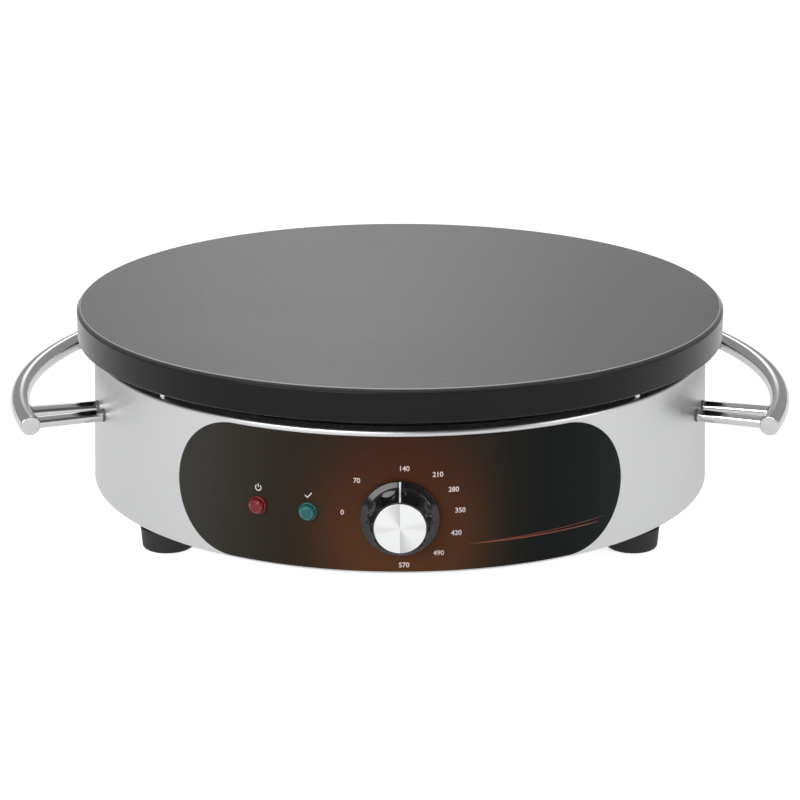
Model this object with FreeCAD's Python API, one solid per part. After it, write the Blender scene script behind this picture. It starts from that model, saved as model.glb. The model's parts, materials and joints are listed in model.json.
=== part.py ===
import FreeCAD, Part
import math
import os
from FreeCAD import Vector

os.makedirs("parts", exist_ok=True)

# Electric crepe maker: a cast plate on four spacers over a drum-shaped steel body.
# Millimetres. Z is up from the counter, the front with its knob faces -Y.
# An azimuth is in degrees from the front, positive towards +X.

# Cooking plate
plate_radius = 203.2
plate_rim_height = 19.8
plate_rim_wall = 8.0
plate_web = 10.0
plate_edge_chamfer = 2.5
plate_lower_chamfer = 0.8
plate_boss_radius = 7.0
plate_boss_inset = 0.6

# Body drum of sheet steel, a little wider at its foot than at its shoulder
sheet = 1.2
body_height = 84.0
plate_overhang = 10.2
body_flare = 3.0
shoulder_radius = 2.0
lower_edge_radius = 0.8
shoulder_flange = 9.4
hem_width = 26.0
foot_height = 13.4
plate_gap = 7.6

# Spacers that carry the plate
spacer_azimuth = 47.0
spacer_radius = 2.3
spacer_stud_radius = 1.5
spacer_stud_up = 6.0
spacer_stud_down = 6.5
spacer_nut_height = 2.4
spacer_nut_flats = 5.5

# Base plate and its vents
base_edge_inset = 6.0
vent_count = 24
vent_inner_radius = 58.0
vent_outer_radius = 92.0
vent_width = 5.0
base_screw_azimuths = [-160.0, -105.0, -75.0, -20.0, 20.0, 75.0, 105.0, 160.0]
base_screw_radius = 1.5
base_screw_head_radius = 3.0
base_screw_head_height = 2.0
base_screw_length = 6.0

# Rubber feet
foot_azimuth = 51.0
foot_top_radius = 16.5
foot_bottom_radius = 15.5
foot_edge_radius = 2.0
foot_bore_depth = 6.0
foot_washer_radius = 6.0
foot_washer_height = 1.0
foot_screw_radius = 2.5
foot_screw_head_radius = 4.7
foot_screw_head_height = 3.0
foot_nut_height = 4.0
foot_nut_flats = 8.0

# Side handles
handle_height = 68.0
handle_azimuth = 94.0
handle_reach = 44.5
handle_bar_radius = 6.0
handle_half_span = 26.0
handle_end_chamfer = 0.5
rod_radius = 3.75
rod_angles = [-24.5, -19.2, 19.2, 24.5]
rod_stud_radius = 2.5
rod_stud_length = 10.0
rod_washer_radius = 4.4
rod_washer_height = 0.9
rod_nut_height = 4.0
rod_nut_flats = 8.0

# Control panel overlay, wrapped on the drum
panel_height = 79.4
panel_half_length = 140.0
panel_thickness = 0.65
panel_glue = 0.15
panel_top_drop = 3.4

# Thermostat, its bracket and shaft
knob_height = 48.2
shaft_radius = 3.0
shaft_running_gap = 0.05
shaft_end_gap = 0.5
shaft_hole_radius = 4.5
bracket_sheet = 1.5
bracket_width = 64.0
bracket_rise = 31.0
bracket_foot = 10.5
bracket_setback = 16.0
bracket_screw_radius = 2.0
bracket_screw_head_radius = 3.6
bracket_screw_head_height = 2.2
bracket_screw_length = 8.0
bracket_screw_spacing = 44.0
thermostat_width = 44.0
thermostat_depth = 32.0
bushing_radius = 5.0
bushing_length = 7.5
bushing_gap = 0.2
shaft_depth = 24.0
thermostat_screw_spacing = 28.0

# Knob
knob_back_gap = 0.9
knob_skirt_radius = 22.3
knob_skirt_edge = 1.6
knob_skirt_inner_radius = 19.2
knob_skirt_slope = 1.6
knob_root_radius = 18.2
knob_root_height = 4.6
knob_grip_radius = 17.7
knob_grip_height = 13.4
knob_front_height = 16.5
knob_front_radius = 16.9
knob_front_edge = 1.7
knob_lobes = 8
knob_flute_radius = 7.0
knob_flute_depth = 2.4
knob_bore_depth = 13.4
knob_hollow_radius = 12.5
knob_hollow_depth = 3.0
cap_radius = 14.6
cap_height = 0.7
cap_edge_chamfer = 0.25
pointer_width = 1.3
pointer_proud = 0.3
shaft_flat = 1.0
shaft_flat_runout = 0.4
clip_thickness = 0.5
clip_width = 3.0
clip_length = 10.0

# Signal lamps
lamp_azimuths = [-24.4, -15.4]
lamp_height = 49.5
lamp_rim_radius = 5.5
lamp_rim_height = 1.4
lamp_dome_radius = 4.7
lamp_dome_height = 3.4
lamp_shank_radius = 4.0
lamp_bore_radius = 3.0
lamp_shank_length = 15.0
lamp_hole_gap = 0.2
lamp_nut_radius = 6.5
lamp_nut_height = 3.0
bulb_radius = 2.75
bulb_length = 13.0

# Heating, from the plate's web down: elements, clamp plate, insulation, shield
element_radius = 4.0
outer_element_inset = 16.0
inner_element_radius = 88.0
outer_gap_angle = 14.0
inner_gap_angle = 24.0
element_bend = 12.0
element_leg_drop = 34.0
element_hole_gap = 1.2
terminal_radius = 1.75
terminal_length = 10.0
clamp_inset = 6.0
clamp_sheet = 2.0
insulation_height = 12.0
insulation_gap = 0.3
shield_clearance = 10.4
shield_wall_height = 11.2
stud_azimuths = [30.0, 90.0, 150.0, 210.0, 270.0, 330.0]
stud_radius = 2.5
stud_hole_gap = 0.3
stud_tail = 6.0
stud_engagement = 6.5
stud_nut_height = 4.0
stud_nut_flats = 8.0
nut_pocket_gap = 0.6

# Sensing bulb under the plate and its capillary tube
sensor_inset = 1.0
sensor_radius = 3.0
sensor_half_length = 40.0
capillary_radius = 0.8
capillary_run = 14.0
capillary_rise = 11.0
capillary_entry_x = 12.0
capillary_bend = 5.0
capillary_hole_radius = 2.0
clip_strap = 1.0
clip_strap_width = 10.0
clip_ear = 9.0
clip_screw_radius = 1.5
clip_screw_head_radius = 2.8
clip_screw_head_height = 1.8
clip_screw_length = 5.0

# Thermal cutout under the shield
cutout_y = 40.0
cutout_radius = 8.0
cutout_height = 9.0
cutout_flange_length = 30.0
cutout_flange_width = 12.0
cutout_flange_sheet = 1.0
cutout_screw_spacing = 22.0

# Terminal block, earth stud and wires
block_inset = 38.0
block_width = 52.0
block_depth = 24.0
block_height = 20.0
block_screw_radius = 3.2
wire_radius = 1.5
wire_bend = 7.0
supply_wire_rise_far = 40.0
supply_wire_rise_near = 15.0
lamp_wire_run = 14.0
lamp_wire_split = 6.0
earth_x = 44.0
earth_stud_radius = 2.0
earth_stud_height = 13.0
earth_head_radius = 3.6
earth_head_height = 2.2
earth_nut_height = 3.2
earth_nut_flats = 7.0

# Cord inlet at the back
gland_height = 40.0
gland_thread_radius = 8.0
gland_flange_flats = 22.5
gland_flange_height = 6.0
gland_cap_radius = 10.5
gland_nose_radius = 7.3
gland_cap_height = 18.6
gland_bore_radius = 4.0
gland_nut_radius = 12.0
gland_nut_height = 5.0
gland_thread_length = 12.0

# Clearance of a screw or stud in its hole
hole_gap = 0.1

# Length of a screw past its nut
screw_tip = 1.0

# Levels worked out from the sizes above
base_bottom = foot_height
base_top = base_bottom + sheet
hem_bottom = base_top
body_top_radius = plate_radius - plate_overhang
body_bottom_radius = body_top_radius + body_flare
body_top = hem_bottom + body_height
rim_bottom = body_top + plate_gap
plate_top = rim_bottom + plate_rim_height
web_bottom = plate_top - plate_web
element_level = web_bottom - element_radius
element_foot = web_bottom - element_leg_drop
clamp_top = web_bottom - 2 * element_radius
clamp_bottom = clamp_top - clamp_sheet
insulation_bottom = clamp_bottom - insulation_height
shield_bottom = insulation_bottom - sheet
spacer_ring_radius = body_top_radius - shoulder_radius - spacer_radius - hole_gap
top_opening_radius = body_top_radius - shoulder_flange
hem_opening_radius = body_bottom_radius - hem_width
foot_ring_radius = body_bottom_radius - foot_top_radius
handle_ring_radius = body_bottom_radius + handle_reach
shield_radius = top_opening_radius - shield_clearance
clamp_radius = shield_radius - sheet - clamp_inset
outer_element_radius = clamp_radius - outer_element_inset
stud_ring_radius = (outer_element_radius + inner_element_radius) / 2
sensor_distance = stud_ring_radius - sensor_inset
capillary_turn_x = sensor_half_length + capillary_run
block_y = outer_element_radius - block_inset
hem_screw_ring = body_bottom_radius - hem_width / 2
panel_proud = panel_glue + panel_thickness
far = 2 * plate_radius


def wall_radius(z, offset=0.0):
    """Outer radius of the drum at height z, plus an offset."""
    share = (z - hem_bottom) / body_height
    return body_bottom_radius - body_flare * share + offset


def at(azimuth, radius, z):
    """Point at an azimuth from the front, a radius and a height."""
    angle = math.radians(azimuth)
    return Vector(radius * math.sin(angle), -radius * math.cos(angle), z)


def outward(azimuth):
    """Horizontal direction that points away from the middle at an azimuth."""
    return at(azimuth, 1.0, 0.0)


def cylinder(radius, height, base, axis=Vector(0, 0, 1)):
    return Part.makeCylinder(radius, height, base, axis)


def box(low, high):
    size = high - low
    return Part.makeBox(size.x, size.y, size.z, low)


def turned(profile):
    """Solid of a closed (radius, height) outline turned about the Z axis."""
    points = [Vector(r, 0, z) for r, z in profile]
    face = Part.Face(Part.makePolygon(points + [points[0]]))
    return face.revolve(Vector(0, 0, 0), Vector(0, 0, 1), 360)


def placed(shape, base, axis):
    """Copy of a shape built along +Z, moved to a base and turned to an axis."""
    copy = shape.copy()
    turn = FreeCAD.Rotation(Vector(0, 0, 1), axis)
    copy.Placement = FreeCAD.Placement(base, turn)
    return copy


def hexagon(flats, height, bore_radius):
    """Nut of a width across flats, standing on z = 0."""
    corner = flats / math.sqrt(3)
    points = [Vector(corner * math.cos(math.radians(60 * i)),
                     corner * math.sin(math.radians(60 * i)), 0) for i in range(7)]
    prism = Part.Face(Part.makePolygon(points)).extrude(Vector(0, 0, height))
    return prism.cut(cylinder(bore_radius, height, Vector(0, 0, 0)))


def drum(offset, low, high):
    """Solid cone between two heights, offset outwards from the drum's wall."""
    return Part.makeCone(wall_radius(low, offset), wall_radius(high, offset),
                         high - low, Vector(0, 0, low))


def swept(points, bend, radius):
    """Round bar along straight runs that are joined by tangent arcs."""
    edges = []
    start = points[0]
    for before, corner, after in zip(points, points[1:], points[2:]):
        toward = (before - corner).normalize()
        away = (after - corner).normalize()
        half = toward.getAngle(away) / 2
        reach = bend / math.tan(half)
        first = corner + toward * reach
        last = corner + away * reach
        middle_way = (toward + away).normalize()
        centre = corner + middle_way * (bend / math.sin(half))
        middle = centre - middle_way * bend
        edges.append(Part.LineSegment(start, first).toShape())
        edges.append(Part.Arc(first, middle, last).toShape())
        start = last
    edges.append(Part.LineSegment(start, points[-1]).toShape())
    return pipe(Part.Wire(edges), radius)


def pipe(path, radius):
    """Round bar along a smooth wire."""
    edge = path.Edges[0]
    start = edge.valueAt(edge.FirstParameter)
    way = edge.tangentAt(edge.FirstParameter)
    ring = Part.Wire(Part.Circle(start, way, radius).toShape())
    return path.makePipeShell([ring], True, False)


def headed_screw(seat, head_radius, head_height, shank_radius, length, way=Vector(0, 0, 1)):
    """Screw whose head ends at its seat and whose shank goes on from there."""
    head = cylinder(head_radius, head_height, seat - way * head_height, way)
    return head.fuse(cylinder(shank_radius, length, seat, way))


def save(name, *solids):
    shape = solids[0] if len(solids) == 1 else Part.makeCompound(list(solids))
    for solid in solids:
        if not solid.isValid() or solid.Volume <= 0:
            raise ValueError(name + " is not a valid solid")
    shape.exportStep("parts/" + name + ".step")
    print(name, len(shape.Solids), round(shape.Volume, 1))


def radial_holes(shape, azimuths, z, radius):
    """Shape with round holes drilled through the drum's wall along a radius."""
    inner = top_opening_radius - shoulder_flange
    for azimuth in azimuths:
        length = far - inner
        shape = shape.cut(cylinder(radius, length, at(azimuth, inner, z), outward(azimuth)))
    return shape


def upright_holes(shape, places, radius, low, high):
    """Shape with round holes drilled from one height to another at places in plan."""
    for place in places:
        shape = shape.cut(cylinder(radius, high - low, Vector(place.x, place.y, low)))
    return shape


def ring_of(azimuths, radius):
    """Places in plan on a ring."""
    return [at(azimuth, radius, 0) for azimuth in azimuths]


def lifted(place, z):
    return Vector(place.x, place.y, z)


def tube(outer, inner, height, base=Vector(0, 0, 0), axis=Vector(0, 0, 1)):
    return cylinder(outer, height, base, axis).cut(cylinder(inner, height, base, axis))


def mirrored_azimuths(azimuth):
    """The four azimuths of a part that stands once in each quarter."""
    return [azimuth, -azimuth, 180 - azimuth, azimuth - 180]


def spacer_places():
    return ring_of(mirrored_azimuths(spacer_azimuth), spacer_ring_radius)


def foot_places():
    return ring_of(mirrored_azimuths(foot_azimuth), foot_ring_radius)


def base_screw_places():
    return ring_of(base_screw_azimuths, hem_screw_ring)


def stud_places():
    return ring_of(stud_azimuths, stud_ring_radius)


def cooking_plate():
    inner = plate_radius - plate_rim_wall
    plate = turned([(0, web_bottom), (inner, web_bottom), (inner, rim_bottom),
                    (plate_radius - plate_lower_chamfer, rim_bottom),
                    (plate_radius, rim_bottom + plate_lower_chamfer),
                    (plate_radius, plate_top - plate_edge_chamfer),
                    (plate_radius - plate_edge_chamfer, plate_top), (0, plate_top)])
    for place in ring_of(mirrored_azimuths(spacer_azimuth), spacer_ring_radius - plate_boss_inset):
        plate = plate.fuse(cylinder(plate_boss_radius, web_bottom - rim_bottom, lifted(place, rim_bottom)))
    hole_top = rim_bottom + spacer_stud_up + screw_tip
    plate = upright_holes(plate, spacer_places(), spacer_stud_radius + hole_gap, rim_bottom, hole_top)
    hole_top = web_bottom + stud_engagement + screw_tip
    plate = upright_holes(plate, stud_places(), stud_radius + hole_gap, web_bottom, hole_top)
    screws = [clip_screw_place(side, 0) for side in (-1, 1)]
    hole_top = web_bottom - clip_strap + clip_screw_length + screw_tip
    plate = upright_holes(plate, screws, clip_screw_radius + hole_gap, web_bottom, hole_top)
    save("cooking_plate", plate.removeSplitter())


def plate_spacers():
    spacers = []
    nuts = []
    stud_length = spacer_stud_down + plate_gap + spacer_stud_up
    for place in spacer_places():
        shank = cylinder(spacer_radius, plate_gap, lifted(place, body_top))
        stud = cylinder(spacer_stud_radius, stud_length, lifted(place, body_top - spacer_stud_down))
        spacers.append(shank.fuse(stud))
        nut = hexagon(spacer_nut_flats, spacer_nut_height, spacer_stud_radius)
        nut.translate(lifted(place, body_top - sheet - spacer_nut_height))
        nuts.append(nut)
    save("plate_spacers", *spacers)
    save("spacer_nuts", *nuts)


def rounded_drum():
    outer = drum(0, hem_bottom, body_top)
    top = [e for e in outer.Edges if e.BoundBox.ZMin > body_top - 0.01]
    outer = outer.makeFillet(shoulder_radius, top)
    low = [e for e in outer.Edges if e.BoundBox.ZMax < hem_bottom + 0.01]
    return outer.makeFillet(lower_edge_radius, low)


def cavity():
    return drum(-sheet, hem_bottom + sheet, body_top - sheet)


def body_shell():
    shell = rounded_drum().cut(cavity())
    shell = shell.cut(cylinder(top_opening_radius, 3 * sheet, Vector(0, 0, body_top - 2 * sheet)))
    shell = shell.cut(cylinder(hem_opening_radius, 3 * sheet, Vector(0, 0, hem_bottom - sheet)))
    stud_hole = spacer_stud_radius + hole_gap
    shell = upright_holes(shell, spacer_places(), stud_hole, body_top - 2 * sheet, body_top)
    shell = hem_holes(shell, hem_bottom)
    shell = radial_holes(shell, handle_rod_azimuths(), handle_height, rod_stud_radius + hole_gap)
    shell = radial_holes(shell, lamp_azimuths, lamp_height, lamp_shank_radius + lamp_hole_gap)
    shell = radial_holes(shell, [0.0], knob_height, shaft_hole_radius)
    shell = radial_holes(shell, [180.0], gland_height, gland_thread_radius + hole_gap)
    save("body_shell", shell)


def hem_holes(shape, low):
    """Shape of one sheet at a height with the holes that the hem and base plate share."""
    shape = upright_holes(shape, foot_places(), foot_screw_radius + hole_gap, low, low + sheet)
    shape = upright_holes(shape, base_screw_places(), base_screw_radius + hole_gap, low, low + sheet)
    brackets = [bracket_screw_place(side) for side in (-1, 1)]
    return upright_holes(shape, brackets, bracket_screw_radius + hole_gap, low, low + sheet)


def base_plate():
    plate = cylinder(body_bottom_radius - base_edge_inset, sheet, Vector(0, 0, base_bottom))
    plate = hem_holes(plate, base_bottom)
    for index in range(vent_count):
        plate = plate.cut(vent_slot(360.0 * (index + 0.5) / vent_count))
    earth_hole = earth_stud_radius + hole_gap
    plate = upright_holes(plate, [Vector(earth_x, block_y, 0)], earth_hole, base_bottom, base_top)
    save("base_plate", plate)


def vent_slot(azimuth):
    """Radial slot with round ends through the base plate."""
    inner = at(azimuth, vent_inner_radius, 0)
    outer = at(azimuth, vent_outer_radius, 0)
    return slot_between(inner, outer, vent_width / 2, base_bottom, base_top)


def base_screws():
    screws = []
    for place in base_screw_places():
        screws.append(headed_screw(lifted(place, base_bottom), base_screw_head_radius, base_screw_head_height,
                                   base_screw_radius, base_screw_length))
    save("base_screws", *screws)


def feet():
    block = Part.makeCone(foot_bottom_radius, foot_top_radius, foot_height)
    low = [e for e in block.Edges if e.BoundBox.ZMax < 0.01]
    block = block.makeFillet(foot_edge_radius, low)
    bore = foot_washer_radius + 2 * hole_gap
    block = block.cut(cylinder(bore, foot_bore_depth, Vector(0, 0, 0)))
    block = block.cut(cylinder(foot_screw_radius + hole_gap, foot_height, Vector(0, 0, 0)))
    seat = foot_bore_depth - foot_washer_height
    washer = tube(foot_washer_radius, foot_screw_radius + hole_gap, foot_washer_height, Vector(0, 0, seat))
    nut_seat = hem_bottom + sheet
    length = nut_seat + foot_nut_height + screw_tip - seat
    screw = headed_screw(Vector(0, 0, seat), foot_screw_head_radius, foot_screw_head_height,
                         foot_screw_radius, length)
    nut = hexagon(foot_nut_flats, foot_nut_height, foot_screw_radius)
    nut.translate(Vector(0, 0, nut_seat))
    groups = {"feet": block, "foot_washers": washer, "foot_screws": screw, "foot_nuts": nut}
    for name, solid in groups.items():
        copies = []
        for place in foot_places():
            copy = solid.copy()
            copy.translate(place)
            copies.append(copy)
        save(name, *copies)


def handle_rod_azimuths():
    return [side + offset for side in (-handle_azimuth, handle_azimuth) for offset in rod_angles]


def handle_bar(side):
    """Round bar bent on the drum's own centre, with square-cut, eased ends."""
    start = side - handle_half_span
    ring = Part.Circle(at(start, handle_ring_radius, handle_height), at(start + 90, 1, 0), handle_bar_radius)
    face = Part.Face(Part.Wire(ring.toShape()))
    bar = face.revolve(Vector(0, 0, 0), Vector(0, 0, 1), 2 * handle_half_span)
    ends = [e for e in bar.Edges if e.Closed and abs(e.Length - 2 * math.pi * handle_bar_radius) < 0.01]
    return bar.makeChamfer(handle_end_chamfer, ends)


def handles():
    shoulder = wall_radius(handle_height) + rod_washer_height
    washers = []
    nuts = []
    drum_solid = drum(0, hem_bottom, body_top)
    hollow = cavity()
    nut = hexagon(rod_nut_flats, rod_nut_height + sheet, rod_stud_radius)
    for name, side in (("left", -handle_azimuth), ("right", handle_azimuth)):
        bar = handle_bar(side)
        save(name + "_handle_bar", bar)
        rods = []
        for offset in rod_angles:
            azimuth = side + offset
            way = outward(azimuth)
            seat = at(azimuth, shoulder, handle_height)
            rod = cylinder(rod_radius, handle_ring_radius - shoulder, seat, way)
            stud = cylinder(rod_stud_radius, rod_stud_length, seat, way * -1)
            rods.append(rod.cut(bar).fuse(stud))
            washer = tube(rod_washer_radius, rod_stud_radius, 2 * rod_washer_height, seat, way * -1)
            washers.append(washer.cut(drum_solid))
            inner = wall_radius(handle_height, -sheet) - rod_nut_height
            nuts.append(placed(nut, at(azimuth, inner, handle_height), way).common(hollow))
        save(name + "_handle_rods", *rods)
    save("handle_washers", *washers)
    save("handle_nuts", *nuts)


def panel_outline(depth):
    """Oval outline of the overlay as seen from the front, wrapped ends included."""
    radius = wall_radius(panel_middle())
    half = panel_height / 2
    end_x = radius * math.sin(panel_half_length / radius)
    turn_x = radius * math.sin((panel_half_length - half) / radius)
    low = panel_middle() - half
    high = panel_middle() + half
    right = half_ellipse(turn_x, end_x - turn_x, half, depth)
    left = half_ellipse(-turn_x, turn_x - end_x, half, depth)
    top = Part.LineSegment(Vector(-turn_x, depth, high), Vector(turn_x, depth, high)).toShape()
    bottom = Part.LineSegment(Vector(-turn_x, depth, low), Vector(turn_x, depth, low)).toShape()
    return Part.Wire(Part.__sortEdges__([top, right, bottom, left]))


def panel_middle():
    return body_top - panel_top_drop - panel_height / 2


def half_ellipse(centre_x, reach, half, depth):
    """Half ellipse from the bottom to the top of the overlay's end, bulging by reach."""
    middle = Vector(centre_x, depth, panel_middle())
    tall = middle + Vector(0, 0, half)
    wide = middle + Vector(reach, 0, 0)
    if half > abs(reach):
        curve = Part.Ellipse(tall, wide, middle)
    else:
        curve = Part.Ellipse(wide, tall, middle)
    ends = [curve.parameter(tall), curve.parameter(middle - Vector(0, 0, half))]
    arc = curve.toShape(ends[0], ends[1])
    bulge = arc.valueAt((arc.FirstParameter + arc.LastParameter) / 2)
    if (bulge.x - centre_x) * reach < 0:
        arc = curve.toShape(ends[1], ends[0])
    return arc


def control_panel():
    low = panel_middle() - panel_height / 2 - panel_proud
    high = panel_middle() + panel_height / 2 + panel_proud
    sleeve = drum(panel_proud, low, high).cut(drum(panel_glue, low, high))
    prism = Part.Face(panel_outline(-far)).extrude(Vector(0, far, 0))
    panel = sleeve.common(prism)
    panel = radial_holes(panel, [0.0], knob_height, shaft_hole_radius)
    panel = radial_holes(panel, lamp_azimuths, lamp_height, lamp_shank_radius + lamp_hole_gap)
    save("control_panel", panel.Solids[0])


def bracket_face():
    """Y of the bracket's front face."""
    return -wall_radius(knob_height, -sheet) + bracket_setback


def bracket_base():
    """Height of the hem's upper face, on which the bracket stands."""
    return hem_bottom + sheet


def bracket_screw_place(side):
    return Vector(side * bracket_screw_spacing / 2, bracket_face() - bracket_foot / 2, 0)


def thermostat_screw_place(side):
    return Vector(side * thermostat_screw_spacing / 2, bracket_face(), knob_height)


def thermostat_bracket():
    front = bracket_face()
    back = front + bracket_sheet
    half = bracket_width / 2
    low = bracket_base()
    upright = box(Vector(-half, front, low), Vector(half, back, knob_height + bracket_rise))
    foot = box(Vector(-half, front - bracket_foot, low), Vector(half, back, low + bracket_sheet))
    bracket = upright.fuse(foot)
    along = Vector(0, 1, 0)
    middle = Vector(0, front, knob_height)
    bracket = bracket.cut(cylinder(bushing_radius + bushing_gap, bracket_sheet, middle, along))
    hole = bracket_screw_radius + hole_gap
    for side in (-1, 1):
        bracket = bracket.cut(cylinder(hole, bracket_sheet, thermostat_screw_place(side), along))
        bracket = upright_holes(bracket, [bracket_screw_place(side)], hole, low, low + bracket_sheet)
    save("thermostat_bracket", bracket.removeSplitter())


def thermostat():
    front = bracket_face() + bracket_sheet
    half = thermostat_width / 2
    along = Vector(0, 1, 0)
    case = box(Vector(-half, front, knob_height - half),
               Vector(half, front + thermostat_depth, knob_height + half))
    bushing_front = Vector(0, front - bushing_length, knob_height)
    case = case.fuse(cylinder(bushing_radius, bushing_length, bushing_front, along))
    bore_length = bushing_length + shaft_depth
    case = case.cut(cylinder(shaft_radius + shaft_running_gap, bore_length, bushing_front, along))
    screws = []
    length = bracket_sheet + bracket_screw_length
    for side in (-1, 1):
        seat = thermostat_screw_place(side)
        case = case.cut(cylinder(bracket_screw_radius + hole_gap, length + screw_tip, seat, along))
        screws.append(headed_screw(seat, bracket_screw_head_radius, bracket_screw_head_height,
                                   bracket_screw_radius, length, along))
    save("thermostat_body", case)
    save("thermostat_screws", *screws)
    foot_screws = []
    grip = bracket_sheet + 2 * sheet + screw_tip
    for side in (-1, 1):
        seat = lifted(bracket_screw_place(side), bracket_base() + bracket_sheet)
        foot_screws.append(headed_screw(seat, bracket_screw_head_radius, bracket_screw_head_height,
                                        bracket_screw_radius, grip, Vector(0, 0, -1)))
    save("bracket_screws", *foot_screws)


def knob_back():
    """Y of the knob's back face, clear of the curved overlay."""
    return -wall_radius(knob_height, panel_proud) - knob_back_gap


def knob_profile(proud=0.0):
    """Outline of the knob as (radius, height in front of its back face)."""
    skirt_top = knob_skirt_edge + knob_skirt_slope
    return [(0, 0), (knob_skirt_radius + proud, 0), (knob_skirt_radius + proud, knob_skirt_edge + proud),
            (knob_skirt_inner_radius + proud, skirt_top + proud),
            (knob_root_radius + proud, knob_root_height),
            (knob_grip_radius + proud, knob_root_height + knob_skirt_slope),
            (knob_front_radius + proud, knob_grip_height),
            (knob_front_radius - knob_front_edge + proud, knob_front_height), (0, knob_front_height)]


def knob_solid():
    """Knob with its lobed grip, standing on z = 0 with the pointer side at +X."""
    body = turned(knob_profile())
    step = 360.0 / knob_lobes
    distance = knob_grip_radius + knob_flute_radius - knob_flute_depth
    for index in range(knob_lobes):
        angle = math.radians(step * (index + 0.5))
        base = Vector(distance * math.cos(angle), distance * math.sin(angle), knob_root_height)
        body = body.cut(cylinder(knob_flute_radius, knob_front_height, base))
    return body


def shaft_outline_cut(half_length, offset):
    """Block that takes the flat off the shaft, with its face at an offset from the axis."""
    reach = 2 * shaft_radius
    return box(Vector(offset, -reach, -1), Vector(offset + reach, reach, half_length))


def turned_to_front(shape):
    """Shape built on +Z with its top side at +X, turned to face -Y with that side up."""
    copy = shape.copy()
    turn = FreeCAD.Rotation(Vector(0, 0, 1), Vector(1, 0, 0), Vector(0, -1, 0), "ZXY")
    copy.Placement = FreeCAD.Placement(Vector(0, knob_back(), knob_height), turn)
    return copy


def knob():
    flat = shaft_radius - shaft_flat
    body = knob_solid()
    bore = cylinder(shaft_radius + shaft_running_gap, knob_bore_depth, Vector(0, 0, 0))
    keep = flat + clip_thickness
    bore = bore.cut(shaft_outline_cut(knob_bore_depth + 2, keep))
    slot = box(Vector(flat, -clip_width / 2, knob_bore_depth - clip_length),
               Vector(keep, clip_width / 2, knob_bore_depth))
    hollow = cylinder(knob_hollow_radius, knob_hollow_depth, Vector(0, 0, 0))
    hollow = hollow.cut(cylinder(2 * shaft_radius, knob_hollow_depth, Vector(0, 0, 0)))
    body = body.cut(bore).cut(slot).cut(hollow)
    cap = cylinder(cap_radius, cap_height, Vector(0, 0, knob_front_height))
    top = [e for e in cap.Edges if e.BoundBox.ZMin > knob_front_height + cap_height - 0.01]
    cap = cap.makeChamfer(cap_edge_chamfer, top)
    strip = box(Vector(cap_radius + pointer_proud, -pointer_width / 2, knob_skirt_edge),
                Vector(2 * knob_skirt_radius, pointer_width / 2, knob_front_height))
    pointer = turned(knob_profile(pointer_proud)).common(strip).cut(knob_solid())
    clip = slot
    save("knob", turned_to_front(body))
    save("knob_cap", turned_to_front(cap))
    save("knob_pointer", turned_to_front(pointer.Solids[0]))
    save("knob_clip", turned_to_front(clip))


def thermostat_shaft():
    tip = knob_back() - knob_bore_depth
    tail = bracket_face() + bracket_sheet + shaft_depth - shaft_end_gap
    shaft = cylinder(shaft_radius, tail - tip, Vector(0, tip, knob_height), Vector(0, 1, 0))
    flat = shaft_radius - shaft_flat
    cutter = box(Vector(-far, tip, knob_height + flat),
                 Vector(far, tip + knob_bore_depth + shaft_flat_runout, knob_height + far))
    save("thermostat_shaft", shaft.cut(cutter))


def lamps():
    skin = drum(panel_proud, hem_bottom, body_top)
    hollow = cavity()
    reach = wall_radius(lamp_height, panel_proud)
    bulbs = []
    nuts = []
    for name, azimuth in zip(("power_lamp_lens", "ready_lamp_lens"), lamp_azimuths):
        way = outward(azimuth)
        seat = at(azimuth, reach, lamp_height)
        tail = at(azimuth, reach - lamp_shank_length, lamp_height)
        rim = cylinder(lamp_rim_radius, 2 * lamp_rim_height, seat - way * lamp_rim_height, way)
        dome = cylinder(lamp_dome_radius, lamp_rim_height + lamp_dome_height / 2, seat, way)
        outside = rim.cut(skin).fuse(dome.cut(skin)).fuse(placed(lens_cap(), seat, way))
        shank = cylinder(lamp_shank_radius, lamp_shank_length + lamp_rim_height, tail, way)
        lens = outside.fuse(shank).cut(cylinder(lamp_bore_radius, lamp_shank_length, tail, way))
        save(name, lens.removeSplitter())
        bulbs.append(cylinder(bulb_radius, bulb_length, tail - way * screw_tip, way))
        inner = at(azimuth, wall_radius(lamp_height, -sheet) - lamp_nut_height, lamp_height)
        ring = tube(lamp_nut_radius, lamp_shank_radius, lamp_nut_height + sheet, inner, way)
        nuts.append(ring.common(hollow))
    save("lamp_bulbs", *bulbs)
    save("lamp_nuts", *nuts)


def lens_cap():
    """Domed front of a lamp lens as a spherical cap."""
    rise = lamp_dome_height / 2
    radius = (lamp_dome_radius ** 2 + rise ** 2) / (2 * rise)
    base = lamp_rim_height + rise
    ball = Part.makeSphere(radius, Vector(0, 0, base + rise - radius))
    return ball.common(cylinder(lamp_dome_radius, 2 * rise, Vector(0, 0, base)))


def element_ends(radius, gap_angle):
    """For each end of an element's ring, the place in plan of its end and of its leg."""
    ends = []
    for side in (-1, 1):
        azimuth = 180.0 + side * gap_angle
        ring_end = at(azimuth, radius, 0)
        way = outward(azimuth - side * 90.0)
        ends.append((ring_end, ring_end + way * element_bend))
    return ends


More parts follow.
